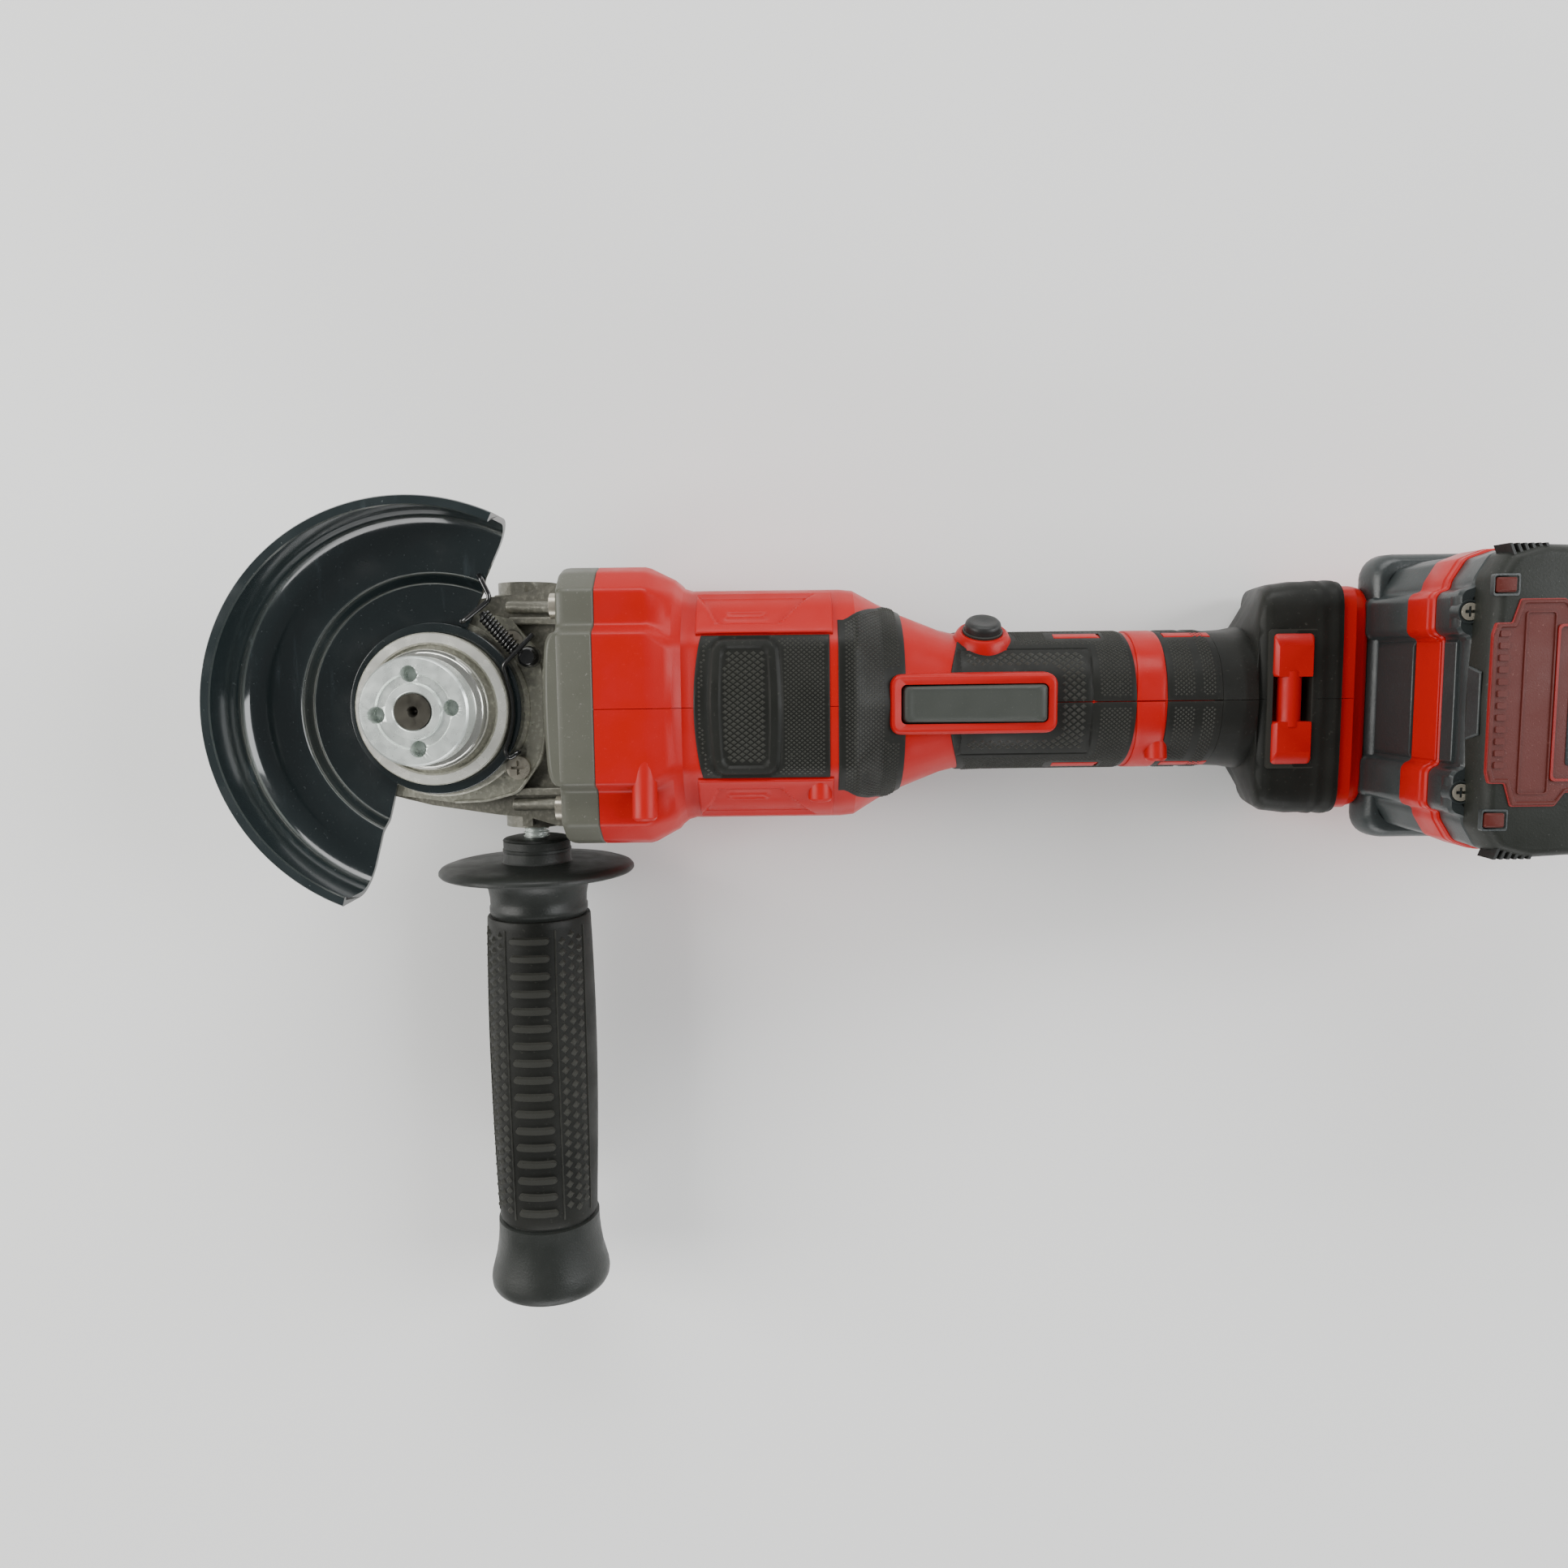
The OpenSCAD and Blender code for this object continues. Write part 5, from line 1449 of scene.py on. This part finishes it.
def on_sleeve(arc, s, out):
    r = sleeve_r(s) + out
    a = arc / sleeve_r(s)
    return tuple(AT_HANDLE @ Vector((r * math.sin(a), r * math.cos(a), s)))


def sleeve():
    """The rubber sleeve, its edges rolled over at both ends."""
    ss = fine(65.8, 164.4, 2.0, (0.15, 0.6))
    count = 96
    rings = [(s, roll(min(s - 65.8, 164.4 - s), 0.0, 0.6)) for s in ss]
    points, faces = [], []
    for s, out in rings:
        r = sleeve_r(s) + out
        points += [tuple(AT_HANDLE @ Vector((r * math.sin(2 * math.pi * k / count),
                                             r * math.cos(2 * math.pi * k / count), s))) for k in range(count)]
    for s in (164.4, 65.8):
        points += [tuple(AT_HANDLE @ Vector((14.2 * math.sin(2 * math.pi * k / count),
                                             14.2 * math.cos(2 * math.pi * k / count), s)))
                   for k in range(count)]
    m = len(rings) + 2
    faces = [(k * count + i, k * count + (i + 1) % count, ((k + 1) % m) * count + (i + 1) % count,
              ((k + 1) % m) * count + i) for k in range(m) for i in range(count)]
    return points, faces


def rib(s0, length, width, low, high, place):
    """A raised bar with round ends across the sleeve."""
    r, half = width / 2, length / 2 - width / 2
    ends = [half + r * 0.3, half + r * 0.7, half + r - 0.02]
    xs = [-x for x in reversed(ends)] + span(-half, half, 1.6) + ends
    rows = []
    for x in xs:
        over = max(0.0, abs(x) - half) / r
        w = r * math.sqrt(max(0.003, 1 - over * over))
        k = 0.62
        rows.append([(x, -w, low), (x * (1 - 0.35 / (length / 2)), -w * k, high),
                     (x * (1 - 0.35 / (length / 2)), w * k, high), (x, w, low)])
    points = [place(x, s0 + w, out) for row in rows for x, w, out in row]
    faces = [(i * 4 + j, i * 4 + j + 1, (i + 1) * 4 + j + 1, (i + 1) * 4 + j) for i in range(len(rows) - 1)
             for j in range(3)]
    faces += [(i * 4, (i + 1) * 4, (i + 1) * 4 + 3, i * 4 + 3) for i in range(len(rows) - 1)]
    last = (len(rows) - 1) * 4
    faces += [(0, 3, 2, 1), (last, last + 1, last + 2, last + 3)]
    return points, faces


def pyramid(arc, s, size, height):
    pts = [on_sleeve(arc + a, s + b, -0.15) for a, b in ((size, 0), (0, size), (-size, 0), (0, -size))]
    pts += [on_sleeve(arc + a * 0.28, s + b * 0.28, height) for a, b in ((size, 0), (0, size), (-size, 0),
            (0, -size))]
    return pts, [(3, 2, 1, 0), (4, 5, 6, 7), (0, 1, 5, 4), (1, 2, 6, 5), (2, 3, 7, 6), (3, 0, 4, 7)]


def sleeve_grip():
    parts = [sleeve()]
    for turn in (0, math.pi):
        def place(arc, s, out, turn=turn):
            return on_sleeve(arc + turn * sleeve_r(s), s, out)
        parts += [rib(71.5 + 5.45 * k, 12.6, 2.7, -0.2, 0.95, place) for k in range(17)]
        for k in range(27):
            for col, arc in enumerate((-16.6, -13.4, -10.2, 10.2, 13.4, 16.6)):
                s = 70.4 + 3.4 * k + (1.7 if col % 2 else 0)
                if s < 160.5:
                    parts.append(pyramid(arc + turn * sleeve_r(s), s, 1.55, 0.85))
    for edge in (-8.0, 8.0, -18.6, 18.6):
        parts.append(tube([on_sleeve(edge, s, 0.0) for s in span(68.5, 161.5, 3.0)], 0.32, 6))
    return join_parts(parts)


put("handle_rubber", sleeve_grip(), "side_handle", "rubber", ["handle_sleeve"], sharp=32)


def disc_marks():
    """A moulded ring on the collar and a second, thinner ring below it."""
    return join_parts([lathe([(10.3, 44.6), (10.62, 44.9), (10.62, 45.7), (10.3, 46.0)], 64, place=AT_HANDLE),
                       lathe([(10.3, 41.9), (10.55, 42.2), (10.3, 42.6)], 64, place=AT_HANDLE)])


put("handle_collar_rings", disc_marks(), "side_handle", "handle_plastic", sharp=40)

# ---- inner parts that only show through gaps or when a battery is taken off ------------

INNER = {"front_bearing": "steel", "spindle_bearing": "steel", "spindle_bush": "bronze", "crown_gear": "steel",
         "pinion": "steel", "motor_shaft": "steel", "rear_bearing": "steel", "rotor": "lamination",
         "stator_core": "lamination", "stator_coils": "copper", "sensor_board": "board_green",
         "control_board": "board_green", "battery_board": "board_green", "fan": "black_plastic",
         "air_baffle": "black_plastic", "switch_body": "black_plastic", "tool_terminals": "black_plastic",
         "leads": "lead_red", "battery_cells": "cell_wrap", "battery_terminals": "bronze",
         "trigger_spring": "steel", "spindle_lock_spring": "steel", "lock_button_spring": "steel",
         "battery_release_spring": "steel"}
for node, look in INNER.items():
    polish(node, look)

# ---- floor, light and camera -------------------------------------------------------------


def backdrop():
    """A wide pale floor just under the tool."""
    steps = 24
    size = 4000
    points = [(-size + 2 * size * i / steps, -size + 2 * size * j / steps, -0.05) for i in range(steps + 1)
              for j in range(steps + 1)]
    faces = [(i * (steps + 1) + j, (i + 1) * (steps + 1) + j, (i + 1) * (steps + 1) + j + 1, i * (steps + 1) + j
              + 1) for i in range(steps) for j in range(steps)]
    return mesh_of("floor", points, faces)


floor_look = Look("floor_paper", (0.88, 0.88, 0.87), 0.9, spec=0.1)
floor_look.bump(floor_look.noise(300, 2.0), 0.02, 0.2)
floor = backdrop()
floor.data.materials.append(floor_look.mat)


def area_light(name, place, target, size, power, tint=(1, 1, 1)):
    data = bpy.data.lights.new(name, "AREA")
    data.shape = "RECTANGLE"
    data.size, data.size_y = size
    data.energy = power
    data.color = tint
    ob = bpy.data.objects.new(name, data)
    ob.location = place
    ob.rotation_euler = (Vector(target) - Vector(place)).to_track_quat("-Z", "Y").to_euler()
    bpy.context.scene.collection.objects.link(ob)


MIDDLE = (0.15, 0.0, 0.04)
area_light("left_light", (-1.15, 0.15, 0.75), MIDDLE, (0.7, 1.3), 24, (1.0, 0.99, 0.96))
area_light("right_light", (1.35, 0.2, 0.7), MIDDLE, (0.7, 1.3), 22, (0.97, 0.99, 1.0))
area_light("back_light", (0.15, 1.25, 0.75), MIDDLE, (1.5, 0.6), 19)
area_light("front_light", (0.15, -1.3, 0.6), MIDDLE, (1.5, 0.6), 15)
world = bpy.data.worlds.new("studio")
world.use_nodes = True
world.node_tree.nodes["Background"].inputs["Color"].default_value = (0.95, 0.97, 1.0, 1)
world.node_tree.nodes["Background"].inputs["Strength"].default_value = 0.16
bpy.context.scene.world = world

CAMERA_AT = Vector((101.54, 11.57, 386.49)) * MM
TILT, ROLL = math.radians(6.0), math.radians(0.662)
camera = bpy.data.objects.new("camera", bpy.data.cameras.new("camera"))
camera.data.lens = 26.0
camera.data.sensor_width = 36.0
camera.data.clip_start = 0.01
back = Vector((0, math.sin(TILT), math.cos(TILT)))
right = Vector((1, 0, 0)) * math.cos(ROLL) - Vector((0, math.cos(TILT), -math.sin(TILT))) * math.sin(ROLL)
axes = Matrix((right, back.cross(right), back)).transposed()
camera.matrix_world = Matrix.Translation(CAMERA_AT) @ axes.to_4x4()
bpy.context.scene.collection.objects.link(camera)
bpy.context.scene.camera = camera
